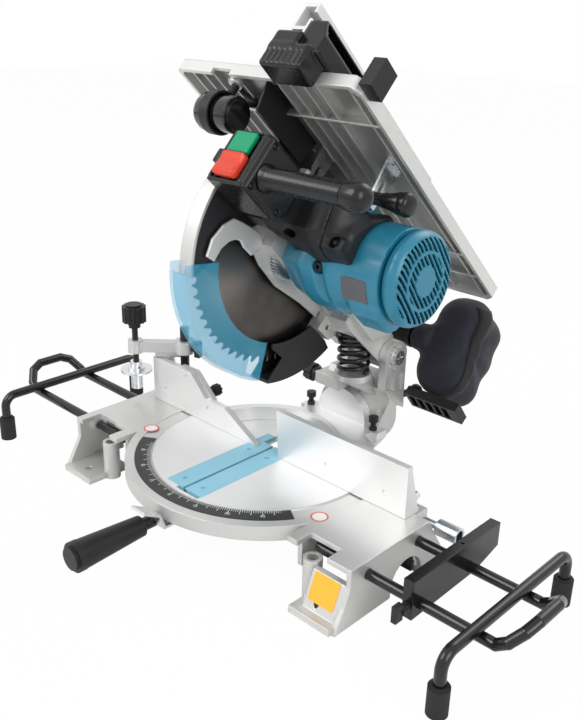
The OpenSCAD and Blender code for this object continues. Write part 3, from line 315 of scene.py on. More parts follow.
BLACK = moulded("black moulding", (0.016, 0.016, 0.018), 0.40, 1100, 0.0002)
SATIN = moulded("satin black", (0.008, 0.008, 0.009), 0.26, 900, 0.0001, 0.1)
GLOSS = moulded("gloss black", (0.004, 0.004, 0.005), 0.09, 60, 0.00005, 0.2, 0.5)
PAINT = moulded("black rod paint", (0.008, 0.008, 0.009), 0.18, 90, 0.0001, 0.1, 0.4)
TEAL = moulded("teal moulding", (0.016, 0.20, 0.31), 0.34, 500, 0.0001, 0.15, 0.5)
SKY = moulded("sky blue board", (0.28, 0.60, 0.76), 0.36, 300, 0.0001, 0.0, 0.5)
RUBBER = moulded("rubber", (0.02, 0.02, 0.02), 0.7, 700, 0.0003)
GREEN = moulded("green button", (0.0, 0.32, 0.15), 0.3, 300, 0.0001, 0.2)
RED = moulded("red button", (0.72, 0.05, 0.02), 0.3, 300, 0.0001, 0.2)
print("made the plastics")

# %% [markdown]
# Bright metals: zinc on screws and brackets, turned steel inside, copper windings.

# %% Bright metals
def bright(name, color, rough):
    """A plain metal whose gloss drifts with a cloudy noise."""
    f = Finish(name, color, rough, 1.0)
    cloud = f.noise(70, 3)
    f.set(Roughness=rough - 0.08 + 0.2 * cloud)
    return f.bump(cloud, 0.0001, 0.2, 0.0004)


ZINC = bright("zinc", (0.72, 0.73, 0.75), 0.26)
STEEL = bright("turned steel", (0.55, 0.56, 0.58), 0.3)
COPPER = bright("winding", (0.72, 0.30, 0.14), 0.35)
print("made the bright metals")

# %% [markdown]
# The blade is ground steel. The grinding wheel goes round, so the lines are rings about its axis,
# and a painted highlight lies in soft streaks along some radii. The guard is a tinted clear moulding.
# Glass would be slow and hard to bake, so a share of plain transparency, less where it is seen edge
# on, stands for it.

# %% Blade and guard
def from_axis(f, centre):
    """Distance from an axis along X through the centre."""
    x, y, z = f.axes()
    return ((y - centre[1]) ** 2.0 + (z - centre[2]) ** 2.0) ** 0.5


def blade_steel():
    """Dark ground steel with painted highlights along some radii: a high power of a sine of the angle."""
    f = Finish("blade steel", (0.3, 0.28, 0.26), 0.34, 1.0)
    r = from_axis(f, BLADE_CENTRE)
    x, y, z = f.axes()
    inputs = [(z - BLADE_CENTRE[2]).socket, (y - BLADE_CENTRE[1]).socket]
    angle = Value(f, f.node("ShaderNodeMath", {"operation": "ARCTAN2"}, inputs))
    rings = (r * 5200).sin() * 0.5 + 0.5
    # painted highlight: bright streaks along some radii, fixed in the steel's colour, mixed with random
    # tone
    painted_highlight_streak = ((angle * 2 + 1.1).sin() * 0.5 + 0.5) ** 9.0
    painted_highlight_and_tone = (0.55 * painted_highlight_streak + 0.35 * f.noise(30, 3)).clamp()
    f.set(**{"Base Color": f.mix(painted_highlight_and_tone, (0.055, 0.050, 0.046), (0.29, 0.265, 0.245))})
    f.set(Roughness=0.30 + 0.12 * rings)
    return f.bump(rings, 0.00004, 0.3)


def clear_guard():
    """A tinted clear plastic: its colour gathers where it is seen edge on."""
    f = Finish("clear guard", (0.05, 0.55, 0.80), 0.06)
    edge = Value(f, f.node("ShaderNodeLayerWeight", {}, {"Blend": 0.4}, "Facing"))
    cloud = f.noise(12, 2)
    f.set(Alpha=(0.17 + 0.34 * edge + 0.05 * cloud).clamp())
    f.set(**{"Base Color": f.mix(edge, (0.02, 0.50, 0.74), (0.005, 0.36, 0.60)), "Coat Weight": 0.5})
    return f


BLADE, GUARD = blade_steel(), clear_guard()
print("made blade and guard")

# %% [markdown]
# The mitre scale is a black ring with a light tick at each degree. Its angle about the turntable's axis
# times the number of degrees gives a saw-tooth wave, and a narrow part of each tooth is the tick.

# %% Mitre scale
def mitre_scale():
    """Ticks where |fract(degrees + 1/2) - 1/2| is small, longer at each fifth, within the printed arc."""
    f = Finish("mitre scale", (0.02, 0.02, 0.022), 0.4)
    x, y, z = f.axes()
    angle = Value(f, f.node("ShaderNodeMath", {"operation": "ARCTAN2"}, [x.socket, (y * -1).socket]))
    degrees = angle * math.degrees(1)
    r = (x ** 2.0 + y ** 2.0) ** 0.5
    each = ((degrees + 0.5 + 360).fraction() - 0.5).abs() < 0.11
    fifth = (((degrees + 2.5 + 360) / 5).fraction() - 0.5).abs() < 0.026
    short = each * (r < 0.1435)
    long = fifth * (r < 0.1475)
    inside = (degrees.abs() < 53)
    mask = (short + long).clamp() * inside
    f.set(**{"Base Color": f.mix(mask, (0.015, 0.015, 0.017), (0.85, 0.85, 0.85))})
    f.set(Roughness=0.32 + 0.1 * f.noise(200, 2))
    return f


SCALE = mitre_scale()
print("made the mitre scale")

# %% [markdown]
# Each solid gets one finish. A list of names under each finish is the shortest way to say it, and what
# no list names is a black moulding, as most of the small parts are.

# %% Dress the solids
DRESS = {
    CAST: ["base_casting", "vise_arm", "bevel_arm", "blade_case"],
    FENCE: ["guide_fence", "sub_fence"],
    TABLE: ["turntable"],
    PAN: ["upper_table"],
    EXTRUSION: ["rip_fence"],
    SCALE: ["mitre_scale"],
    SKY: ["kerf_board_left", "kerf_board_right"],
    TEAL: ["motor_housing", "motor_cap"],
    GLOSS: ["lamp"],
    PAINT: ["holder_right", "holder_left", "vise_rod", "grip_shaft", "return_spring", "set_plate"],
    RUBBER: ["holder_right_caps", "holder_left_caps"],
    GUARD: ["lower_guard"],
    BLADE: ["saw_blade"],
    ZINC: ["fence_bolts", "socket_wrench", "vise_foot", "index_lever", "hinge_pin", "table_brackets",
           "table_bolt"],
    STEEL: ["spindle", "blade_bolt", "armature"],
    COPPER: ["stator"],
    GREEN: ["start_button"],
    RED: ["stop_button"],
}


def dress(node, finish):
    """Puts one material in a solid's slots in place of the plain one."""
    slots = NODES[node].data.materials
    slots.clear()
    slots.append(finish.material)


for finish, names in DRESS.items():
    for name in names:
        dress(name, finish)
for name in sorted(set(NODES) - {n for names in DRESS.values() for n in names}):
    dress(name, BLACK)
print("dressed", len(NODES), "solids")

# %% [markdown]
# The saw head is drawn level, in its own axes: x to the right, u to the rear, v up from the blade's
# centre, in mm. It hangs raised on its hinge, so a point of the head turns by that angle.
#
# Rounded forms are distance fields. A field is negative inside, and its zero level is the surface.
# Soft joins and cuts between fields give the fillets of a real moulding.

# %% Distance fields
LEAN_COS, LEAN_SIN = math.cos(RAISED), math.sin(RAISED)


def head_place(points):
    """y = hinge y + U cos a + V sin a, z = hinge z - U sin a + V cos a, with U = u - back, V = v + drop."""
    x, u, v = np.asarray(points, float).T
    u, v = u - HINGE_BACK, v + HINGE_DROP
    y = HINGE_Y + u * LEAN_COS + v * LEAN_SIN
    z = HINGE_Z - u * LEAN_SIN + v * LEAN_COS
    return np.stack([x, y, z], 1) * MM


def world_place(points):
    """Plain millimetres to metres."""
    return np.asarray(points, float) * MM


def rounded(distances, r):
    """|max(q, 0)| + min(max(q), 0) - r, with q the distances plus r: rounds where the walls meet."""
    q = [d + r for d in distances]
    outside = np.sqrt(sum(np.maximum(d, 0) ** 2 for d in q))
    inside = q[0]
    for d in q[1:]:
        inside = np.maximum(inside, d)
    return outside + np.minimum(inside, 0) - r


def slab(a, low, high):
    """|a - middle| - half the width."""
    return abs(a - (low + high) / 2) - (high - low) / 2


def block(p, low, high, r):
    """A box with edges rounded to r."""
    return rounded([slab(a, l, h) for a, l, h in zip(p, low, high)], r)


def drum(p, low, high, centre, radius, r):
    """A round bar along x."""
    return rounded([slab(p[0], low, high), np.hypot(p[1] - centre[0], p[2] - centre[1]) - radius], r)


def prism(p, low, high, outline, r):
    """An outline in (u, v), pushed along x. Its distance is the least distance to an edge."""
    u, v = p[1], p[2]
    least = np.full(u.shape, 1e9)
    inside = np.zeros(u.shape, bool)
    for (au, av), (bu, bv) in zip(outline, outline[1:] + outline[:1]):
        eu, ev = bu - au, bv - av
        t = np.clip(((u - au) * eu + (v - av) * ev) / (eu * eu + ev * ev), 0, 1)
        least = np.minimum(least, np.hypot(u - au - t * eu, v - av - t * ev))
        if ev:
            inside ^= ((av > v) != (bv > v)) & (u < eu * (v - av) / ev + au)
    return rounded([slab(p[0], low, high), np.where(inside, -least, least)], r)


def capsule(p, a, b, r):
    """|p - a - t (b - a)| - r, with t the nearest place on the line, from 0 to 1."""
    e = [j - i for i, j in zip(a, b)]
    t = sum((q - i) * k for q, i, k in zip(p, a, e)) / sum(k * k for k in e)
    t = np.clip(t, 0, 1)
    return np.sqrt(sum((q - i - t * k) ** 2 for q, i, k in zip(p, a, e))) - r


def join(a, b, k):
    """Soft union: min(a, b) - k h^2 / 4, with h = max(1 - |a - b| / k, 0)."""
    return np.minimum(a, b) - k / 4 * np.maximum(1 - abs(a - b) / k, 0) ** 2


def cut(a, b, k):
    """Soft difference: minus the soft union of -a and b."""
    return -join(-a, b, k)


print("fields ready, lean", round(math.degrees(RAISED), 2))

# %% [markdown]
# A field becomes a mesh as a surface net: each grid cell that the surface crosses gets one point, at
# the mean of the crossings on its edges, and each crossed edge gets one face. A few Newton steps then
# put the points on the surface, and the field's gradient gives the shading normals.

# %% From field to mesh
def surface_net(field, low, high, step):
    """Crossing on an edge: f / (f - s) of the way between its ends' values f and s. Point: their mean."""
    low = np.array(low, float) - 2 * step
    n = np.ceil((np.array(high, float) + 2 * step - low) / step).astype(int) + 1
    grid = np.meshgrid(*[low[i] + step * np.arange(n[i]) for i in range(3)], indexing="ij")
    d = field(grid)
    cells, count = int(n.prod()), np.zeros(int(n.prod()))
    total, faces = np.zeros((cells, 3)), []
    for a in range(3):
        b, c = (a + 1) % 3, (a + 2) % 3
        first, second = np.take(d, range(n[a] - 1), a), np.take(d, range(1, n[a]), a)
        at = np.argwhere((first < 0) != (second < 0))
        f, s = first[tuple(at.T)], second[tuple(at.T)]
        crossing = at.astype(float)
        crossing[:, a] += f / (f - s)
        corners = []
        for db, dc in ((0, 0), (1, 0), (1, 1), (0, 1)):
            cell = at.copy()
            cell[:, b] -= db
            cell[:, c] -= dc
            flat = np.ravel_multi_index(cell.T, n)
            count += np.bincount(flat, minlength=cells)
            for k in range(3):
                total[:, k] += np.bincount(flat, crossing[:, k], cells)
            corners.append(flat)
        quad = np.stack(corners, 1)
        faces.append(np.where((f < 0)[:, None], quad, quad[:, ::-1]))
    used = np.flatnonzero(count)
    number = np.zeros(cells, int)
    number[used] = np.arange(len(used))
    points = low + step * total[used] / count[used, None]
    return points, number[np.concatenate(faces)]


def gradient(field, points, reach):
    """(d(p + h) - d(p - h)) / 2h along each axis."""
    sides = []
    for k in range(3):
        ahead, behind = points.copy(), points.copy()
        ahead[:, k] += reach
        behind[:, k] -= reach
        sides.append((field(ahead.T) - field(behind.T)) / (2 * reach))
    return np.stack(sides, 1)


def add_piece(name, points, faces, finish, body, replaces=(), normals=None, place=head_place):
    """Makes the mesh object, dresses it and lets it ride on its body."""
    mesh = bpy.data.meshes.new(name)
    mesh.from_pydata(place(points).tolist(), [], [list(map(int, f)) for f in faces])
    mesh.polygons.foreach_set("use_smooth", np.ones(len(mesh.polygons), bool))
    mesh.materials.append(finish.material)
    if normals is not None:
        turned = place(points + normals) - place(points)
        turned /= np.linalg.norm(turned, axis=1)[:, None]
        mesh.normals_split_custom_set_from_vertices(turned.tolist())
    piece = bpy.data.objects.new(name, mesh)
    bpy.context.scene.collection.objects.link(piece)
    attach(piece, body)
    if replaces:
        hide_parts(*replaces)
    return piece


def solid(name, field, low, high, step, finish, body, replaces=(), place=head_place):
    """Meshes a field, then moves each point by -d times the gradient over its square, three times."""
    points, faces = surface_net(field, low, high, step)
    for _ in range(3):
        slope = gradient(field, points, 0.15)
        steep = np.maximum((slope ** 2).sum(1), 0.2)
        move = slope * (field(points.T) / steep)[:, None]
        points -= np.clip(move, -0.5 * step, 0.5 * step)
    slope = gradient(field, points, 0.35)
    slope /= np.maximum(np.linalg.norm(slope, axis=1), 1e-6)[:, None]
    return add_piece(name, points, faces, finish, body, replaces, slope, place)


POLE = 0.02


def lathe(name, profile, origin, axis, finish, body, replaces=(), place=head_place, turns=64):
    """Turns (along, radius) pairs: p = origin + s axis + r (cos t e + sin t f). A profile that ends
    where it starts makes a ring, and any other is closed with a face at each end."""
    axis = np.array(axis, float) / np.linalg.norm(axis)
    e = np.cross(axis, (0, 0, 1) if abs(axis[2]) < 0.9 else (1, 0, 0))
    e /= np.linalg.norm(e)
    f = np.cross(axis, e)
    t = np.linspace(0, 2 * math.pi, turns, endpoint=False)
    ring = np.outer(np.cos(t), e) + np.outer(np.sin(t), f)
    closed = profile[0] == profile[-1]
    rows = len(profile) - closed
    origin = np.array(origin)
    points = np.concatenate([origin + s * axis + max(r, POLE) * ring for s, r in profile[:rows]])
    faces = [(i * turns + j, i * turns + (j + 1) % turns, (i + 1) % rows * turns + (j + 1) % turns,
              (i + 1) % rows * turns + j) for i in range(len(profile) - 1) for j in range(turns)]
    last = (rows - 1) * turns
    if not closed:
        faces += [tuple(range(turns)), tuple(range(last + turns - 1, last - 1, -1))]
    piece = add_piece(name, points, faces, finish, body, replaces, None, place)
    crisp = piece.modifiers.new("crisp", "BEVEL")
    crisp.width, crisp.segments, crisp.limit_method = 0.0006, 2, "ANGLE"
    crisp.angle_limit, crisp.harden_normals = math.radians(35), True
    return piece


def tube(name, path, radius, finish, body, place=head_place, replaces=(), turns=14):
    """Sweeps a circle along a path, with a frame carried from point to point."""
    path = np.array(path, float)
    run = np.gradient(path, axis=0)
    run /= np.linalg.norm(run, axis=1)[:, None]
    side = np.cross(run[0], (0.31, 0.52, 0.79))
    points = []
    t = np.linspace(0, 2 * math.pi, turns, endpoint=False)
    for i, (at, way) in enumerate(zip(path, run)):
        side = side - way * side.dot(way)
        side /= np.linalg.norm(side)
        up = np.cross(way, side)
        r = radius(i / (len(path) - 1)) if callable(radius) else radius
        points.append(at + r * (np.outer(np.cos(t), side) + np.outer(np.sin(t), up)))
    faces = [(i * turns + j, i * turns + (j + 1) % turns, (i + 1) * turns + (j + 1) % turns,
              (i + 1) * turns + j) for i in range(len(path) - 1) for j in range(turns)]
    last = (len(path) - 1) * turns
    faces += [tuple(range(turns))[::-1], tuple(range(last, last + turns))]
    return add_piece(name, np.concatenate(points), faces, finish, body, replaces, None, place)


def smooth_path(knots, count):
    """A Catmull-Rom curve through the knots."""
    knots = np.array([knots[0], *knots, knots[-1]], float)
    out = []
    for t in np.linspace(0, len(knots) - 3 - 1e-9, count):
        i, w = int(t), t - int(t)
        a, b, c, d = knots[i:i + 4]
        out.append(0.5 * (2 * b + (c - a) * w + (2 * a - 5 * b + 4 * c - d) * w * w
                          + (3 * b - a - 3 * c + d) * w ** 3))
    return out


print("mesher ready")

# %% [markdown]
# The motor is one smooth teal moulding: a barrel, a narrower neck towards the blade, the lug of the
# table lock and a foot. A screw sits in a pocket in front, and a plain plate is let into the barrel.

# %% Motor
MOTOR = (22.1, 23.0)
BARREL = 52.5
MOTOR_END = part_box("motor_cap")[1][0] / MM
CAP_X = MOTOR_END - 24
LUG = [(-30, 30), (-43, 68), (-43, 84), (-25, 84), (4, 60), (10, 30)]


def motor_body(p):
    """Barrel, neck, flange, lug and foot, softly joined, less a pocket, a groove and a plate's seat."""
    barrel = drum(p, 60, CAP_X, MOTOR, BARREL, 0.6)
    neck = drum(p, 30.6, 96, MOTOR, 47, 2)
    flange = prism(p, 30.6, 60, [(-22, -14), (-22, 12), (2, 40), (66, 68), (86, 40), (86, -18)], 5)
    lug = prism(p, 96.2, 111.4, LUG, 3)
    foot = prism(p, CAP_X - 42, CAP_X - 2, [(8, -30), (18, -35.5), (48, -35.5), (58, -26), (58, -8),
                                            (8, -8)], 5)
    d = join(join(join(barrel, neck, 26), flange, 20), lug, 8)
    d = join(d, foot, 8)
    d = cut(d, capsule(p, (81, -26, -16), (81, -12, -4), 7.5), 2)
    d = cut(d, capsule(p, (83, -17, -17), (89, 8, -36), 5), 5)
    d = cut(d, block(p, (CAP_X - 36, 22, -40), (CAP_X - 8, 44, -31), 4), 1.5)
    return np.maximum(d, -bracket_room(p))


def bracket_room(p):
    """Room for the two table brackets, which come down between the mouldings as the table sinks."""
    return np.minimum(block(p, (23.1, -56, 38), (27.3, -22, 130), 0.5),
                      block(p, (111.2, -50, 38), (115.4, -16, 130), 0.5))


def motor_cap(p):
    """The end cap, with a round shoulder."""
    return drum(p, CAP_X + 0.2, MOTOR_END, MOTOR, BARREL, 13)


def vents(p):
    """Parallel slots, 5.8 mm apart, left open only in two rings round a plain disc."""
    u, v = p[1] - MOTOR[0], p[2] - MOTOR[1]
    r = np.hypot(u, v)
    across = 0.20 * u + 0.98 * v
    slots = abs((across / 5.8 + 0.5) % 1 - 0.5) * 5.8 - 1.5
    rings = np.minimum(abs(r - 23) - 6, abs(r - 39.5) - 6.7)
    return np.maximum(np.maximum(slots, rings), CAP_X + 13.5 - p[0])


def motor_finish():
    """The teal plastic, with painted shade: near black where a slot goes deeper than the wall."""
    f = moulded("teal motor", (0.016, 0.20, 0.31), 0.34, 500, 0.0001, 0.15, 0.5)
    r = from_axis(f, head_place([(0, *MOTOR)])[0])
    # painted shade: the slot floors are coloured near black, standing for the shade inside the vents
    painted_slot_shade = (r < (BARREL - 6.2) * MM) * (f.axes()[0] < (MOTOR_END - 2.4) * MM)
    base = f.tree.nodes["Principled BSDF"].inputs["Base Color"].links[0].from_socket
    f.set(**{"Base Color": f.mix(painted_slot_shade, base, (0.004, 0.006, 0.007))})
    return f


CAP_FINISH = motor_finish()
solid("motor_shell", motor_body, (26, -50, -46), (CAP_X + 2, 104, 94), 2.0, TEAL, "head",
      ["motor_housing"])
solid("motor_end_cap", lambda p: cut(motor_cap(p), np.maximum(vents(p), -motor_cap(p) - 5), 0.4),
      (CAP_X, -31, -30), (MOTOR_END, 75, 76), 1.2, CAP_FINISH, "head", ["motor_cap"])


def plate_form(p):
    """A patch of a thin ring: r within 0.6 mm of the barrel, and a rounded rectangle unrolled on it."""
    r = np.hypot(p[1] - MOTOR[0], p[2] - MOTOR[1])
    along = np.arctan2(p[2] - MOTOR[1], p[1] - MOTOR[0]) * BARREL
    patch = rounded([slab(p[0], 101, 147), slab(along, math.radians(-139) * BARREL,
                                                math.radians(-106) * BARREL)], 4)
    return np.maximum(patch, abs(r - BARREL) - 0.7)


PLATE = moulded("plain plate", (0.10, 0.10, 0.115), 0.35, 900, 0.0001, 0.2)
solid("motor_plate", plate_form, (100, -26, -31), (148, 20, -8), 1.1, PLATE, "head")
solid("motor_screw", lambda p: cut(capsule(p, (81, -17, -8), (81, -13, -5), 6.4),
                                   capsule(p, (81, -24, -14), (81, -17, -9), 2.6), 0.5),
      (74, -26, -18), (88, -4, 4), 0.8, BLACK, "head")
print("motor from x", 30.6, "to", round(MOTOR_END, 1))

# %% [markdown]
# The handle bracket is a black moulding that grows over the motor like a saddle: two humps with a
# groove between them, and a ledge below with two screw pockets. The switch box sits in front of it,
# with a well round each key that leaves room for its travel.

# %% Handle bracket and switch box
def bracket(p):
    """A base and a wrap, two humps, the side arm and the ledge, less the pockets and the motor."""
    base = prism(p, 31, 92, [(-72, 4), (-78, 40), (-40, 76), (42, 78), (54, 60), (40, 30), (-20, 4)], 9)
    wrap = prism(p, 78, 126, [(-46, 1), (-50, 22), (-38, 52), (-6, 74), (14, 74), (14, 1)], 8)
    left = capsule(p, (47, -62, 14), (47, -66, 40), 20)
    right = capsule(p, (88, -36, 22), (88, -42, 44), 30)
    arm = prism(p, 15.5, 44, [(-90, -5), (-90, 49), (-66, 56), (-60, 4), (-72, -5)], 4)
    ledge = block(p, (46, -56, -3), (125, -24, 13), 4)
    d = join(join(join(base, wrap, 16), left, 8), right, 10)
    d = join(join(d, arm, 8), ledge, 5)
    for x, u in ((59, -57), (114, -57)):
        d = cut(d, capsule(p, (x, u - 6, 2), (x, u + 8, 8), 6), 1.5)
        d = np.minimum(d, capsule(p, (x, u + 6, 7), (x, u + 12, 9), 3.6))
    d = cut(d, np.maximum(abs(p[0] - 100) - 0.5, -d - 1.2), 0.6)
    d = np.maximum(d, -drum(p, 0, 300, MOTOR, BARREL + 0.3, 0.1))
    d = np.maximum(d, -bracket_room(p))
    return np.maximum(d, -motor_body(p) + 0.3)


def switch_body(p):
    """A case with a seam line, a raised frame, two wells and four screws."""
    d = prism(p, 15.3, 73.8, [(-160.6, -9.6), (-104, -9.6), (-90.6, 0), (-90.6, 44), (-112, 51.6),
                              (-160.6, 51.6)], 5)
    d = cut(d, np.maximum(abs(p[0] - 68.5) - 0.5, -d - 1.0), 0.5)
    frame_face = block(p, (20, -163.8, -8), (69, -156, 50.6), 2.6)
    d = join(d, frame_face, 1.5)
    d = cut(d, block(p, (24.5, -172, -6.6), (62, -159.4, 49.4), 1.6), 1)
    d = np.maximum(d, -block(p, (25.3, -175, 23.3), (55.7, -153, 48.7), 1.6))
    d = np.maximum(d, -block(p, (27.3, -175, -5.7), (60.7, -153, 22.7), 1.6))
    for u, v in ((-153, -3), (-153, 44), (-102, 38), (-106, -2)):
        d = cut(d, capsule(p, (73, u, v), (80, u, v), 3.6), 0.6)
        d = np.minimum(d, capsule(p, (69, u, v), (70.6, u, v), 2.8))
    return join(d, block(p, (9, -160, 12), (20, -150, 28), 2), 2)


solid("handle_saddle", bracket, (13, -100, -12), (130, 62, 86), 1.8, BLACK, "head",
      ["handle_bracket"])
solid("switch_case", switch_body, (9, -164, -10), (74, -90, 52), 1.4, SATIN, "head",
      ["switch_box"])
solid("start_key", lambda p: block(p, (26, -165.5, 24), (55, -159.6, 48), 1.6), (26, -166, 24),
      (55, -159, 48), 1.0, GREEN, "start_button", ["start_button"])
solid("stop_key", lambda p: cut(block(p, (28, -171, -5), (60, -159.6, 22), 4),
                                capsule(p, (20, -186, 12), (70, -186, 12), 17.5), 2),
      (28, -171, -5), (60, -159, 22), 1.0, RED, "stop_button", ["stop_button"])
print("bracket and switch box made")

# %% [markdown]
# The side grip, the lamp and the knob that locks the upper table are turned forms, so each is a profile
# carried round an axis. The lamp's short lead is a tube along a smooth path, ribbed where it bends.

# %% Grip, lamp and lock knob
GRIP_R = 12.0
LAMP_U, LAMP_V = -156.5, 70
LOCK_U, LOCK_V = -34, 75
LEAD_R = 2.7
grip_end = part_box("front_grip")[1][0] / MM - 0.2
lathe("front_grip_cover",
      [(74.4, 0), (74.4, 14.4), (77, 14.4), (80, 12.6), (84, GRIP_R), (grip_end - 27, GRIP_R),
       (grip_end - 26.4, 11.2), (grip_end - 25.6, 11.2), (grip_end - 25, 13.2),
       (grip_end - 18, 14.4), (grip_end - 11, 14.2)] +
      [(grip_end - 11 + 11 * math.sin(a), 3.2 + 11 * math.cos(a)) for a in np.linspace(0.15, 1.57, 9)]
      + [(grip_end, 0)],
      (0, -142, 14), (1, 0, 0), SATIN, "head", ["front_grip"])
lamp_low, lamp_high = (corner / MM for corner in (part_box("lamp")[0][0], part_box("lamp")[1][0]))
lathe("lamp_body",
      [(lamp_low, 0), (lamp_low + 0.3, 8), (lamp_low + 1.4, 13.5), (lamp_low + 4, 17.6),
       (lamp_low + 9, 20.3), (lamp_low + 20, 20.4), (lamp_low + 21, 19.0), (lamp_low + 24, 18.6),
       (lamp_low + 26, 19.4), (lamp_high - 4, 19.4), (lamp_high - 2.6, 18.2), (lamp_high - 2.6, 16),
       (lamp_high, 16), (lamp_high, 0)],
      (0, LAMP_U, LAMP_V), (1, 0, 0), GLOSS, "lamp", ["lamp"])
lathe("table_lock_knob", [(98, 0), (98, 2.9), (114.9, 2.9), (114.9, 7), (124, 7), (126, 8), (134, 8.6),
                          (148, 12.2), (150, 11.6), (152, 12.6), (157, 13), (159, 12.6), (161.4, 10.6),
                          (162, 9), (162, 0)],
      (0, LOCK_U, LOCK_V), (1, 0, 0), SATIN, "table_lock", ["table_lock"])
loop = smooth_path([(-10, -150, 88), (-9, -140, 96), (-13, -131, 104), (-22, -130, 110),
                    (-33, -138, 111), (-37, -150, 114)], 120)
tube("lamp_lead", loop, lambda t: LEAD_R + (0.45 * math.sin(t * 190) if t < 0.75 else 0), RUBBER,
     "upper_table")
print("grip, lamp, lock and lead made")

# %% [markdown]
# The return spring closes up as the head comes down. Its ends are ground flat: the first and last
# quarter turn don't rise. A round wire is swept along that helix.

# %% Return spring
COIL_LOW, COIL_HIGH = (np.array(corner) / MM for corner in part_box("return_spring"))
COIL_WIRE, COIL_TURNS = 2.6, 5.0


def coil_path(steps=200):
    """Angle = 2 pi turns, and height = low + rise, with the rise held still at both ends."""
    middle = (COIL_LOW + COIL_HIGH) / 2
    radius = (COIL_HIGH[0] - COIL_LOW[0]) / 2 - COIL_WIRE
    low, high = COIL_LOW[2] + COIL_WIRE, COIL_HIGH[2] - COIL_WIRE
    turns = np.linspace(0, COIL_TURNS, steps)
    rise = np.clip((turns - 0.25) / (COIL_TURNS - 0.5), 0, 1)
    angle = 2 * math.pi * turns
    return np.stack([middle[0] + radius * np.cos(angle), middle[1] + radius * np.sin(angle),
                     low + (high - low) * rise], 1)


coil = tube("return_coil", coil_path(), COIL_WIRE, PAINT, "arm", world_place,
            ["return_spring"], 16)
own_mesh(coil)
print("spring from z", round(COIL_LOW[2], 1), "to", round(COIL_HIGH[2], 1))

# %% [markdown]
# A flat claw of the gear housing hooks over the top of the blade, in front of the clear guard. It is
# one outline pushed through a small thickness, with its edges rounded.

# %% Claw
CLAW = [(-58, -6), (-72, -9), (-86, -12), (-99, -16), (-107, -30), (-110, -50), (-104, -68),
        (-91, -66), (-92, -50), (-88, -39), (-82, -32), (-75, -29), (-66, -32), (-50, -32), (-40, -14)]
solid("housing_claw", lambda p: prism(p, 13.0, 16.4, CLAW, 1.2), (13, -111, -69), (17, -39, -5), 0.9,
      CAST, "head")
print("claw made")

# %% [markdown]
# The rip fence slides with a black carrier: a long moulding with soft edges, and a clamp that grips
# the front rim of the table.

# %% Fence carrier
def carrier(p):
    """The long moulding with its sloping side, the ribbed clamp, and room for the fence and the table."""
    long = block(p, (74.1, -199, 121.2), (105, 85, 160), 2.5)
    long = cut(long, block(p, (78, -196, 124), (101, 82, 157), 2), 0.5)
    slope = (p[0] - 105) * 0.9 + (p[2] - 140) * 0.44
    long = np.maximum(long, slope)
    clamp = block(p, (46, -206, 99), (100, -173.7, 127), 4)
    front = block(p, (46, -206, 118), (80, -199.2, 141), 3)
    d = join(join(clamp, front, 3), long, 2)
    for x in np.arange(52, 96, 7.0):
        d = cut(d, capsule(p, (x, -207.5, 103), (x, -207.5, 116), 2.2), 0.6)
    d = np.maximum(d, -block(p, (53, -199.1, 120), (74.02, -100, 190), 0.2))
    return np.maximum(d, -block(p, (-200, -173.4, 90), (160, 300, 121.1), 0.1))


solid("fence_carrier_cover", carrier, (46, -206, 99), (105, 85, 160), 2.2, SATIN, "rip_fence",
      ["fence_carrier"])
print("carrier made")

# %% [markdown]
# The dust bag is cloth. A soft pouch in the place of the solid bag is blown up a little by a cloth
# simulation with its collar held, and shallow folds fan out from the collar. A weave and soft wrinkles
# come from the shader, and a strap is laid over the outer side.

# %% Dust bag
def woven(name, dark, light):
    """Plain weave: the product of two sines across the threads, with wrinkles of wide noise."""
    f = Finish(name, light, 0.8)
    x, y, z = f.axes()
    threads = ((x + z) * 5200).sin() * ((y - z) * 5200).sin() * 0.5 + 0.5
    stretch = f.node("ShaderNodeMapping", {}, {"Vector": f.place(), "Scale": (1, 1, 0.35)})
    folds = f.noise(34, 3, stretch)
    f.set(**{"Base Color": f.mix(0.6 * folds + 0.4 * threads, dark, light), "Sheen Weight": 0.1})
    f.set(Roughness=0.72 + 0.15 * threads)
    return f.bump(0.85 * folds + 0.02 * threads, 0.009, 0.55)


CLOTH = woven("navy cloth", (0.005, 0.005, 0.010), (0.020, 0.020, 0.036))
NOZZLE = (246.0, 42.0)
BAG = (104.0, 268.0, 50.0)
MOST_MOVED = 0.0035
FOLD_DEPTH = 0.0016


def bag_form(p):
    """A full soft pouch with its back leaning with the nozzle, and a collar that grips the nozzle."""
    x, u, v = p
    cu, cv = BAG[1], BAG[2]
    lean = 0.14 * (v - cv)
    d = block((x, u + lean, v), (66, cu - 34, cv - 68), (142, cu + 54, cv + 62), 32)
    collar = drum(p, 53, 80, NOZZLE, 18.4, 2)
    return join(d, collar, 10)


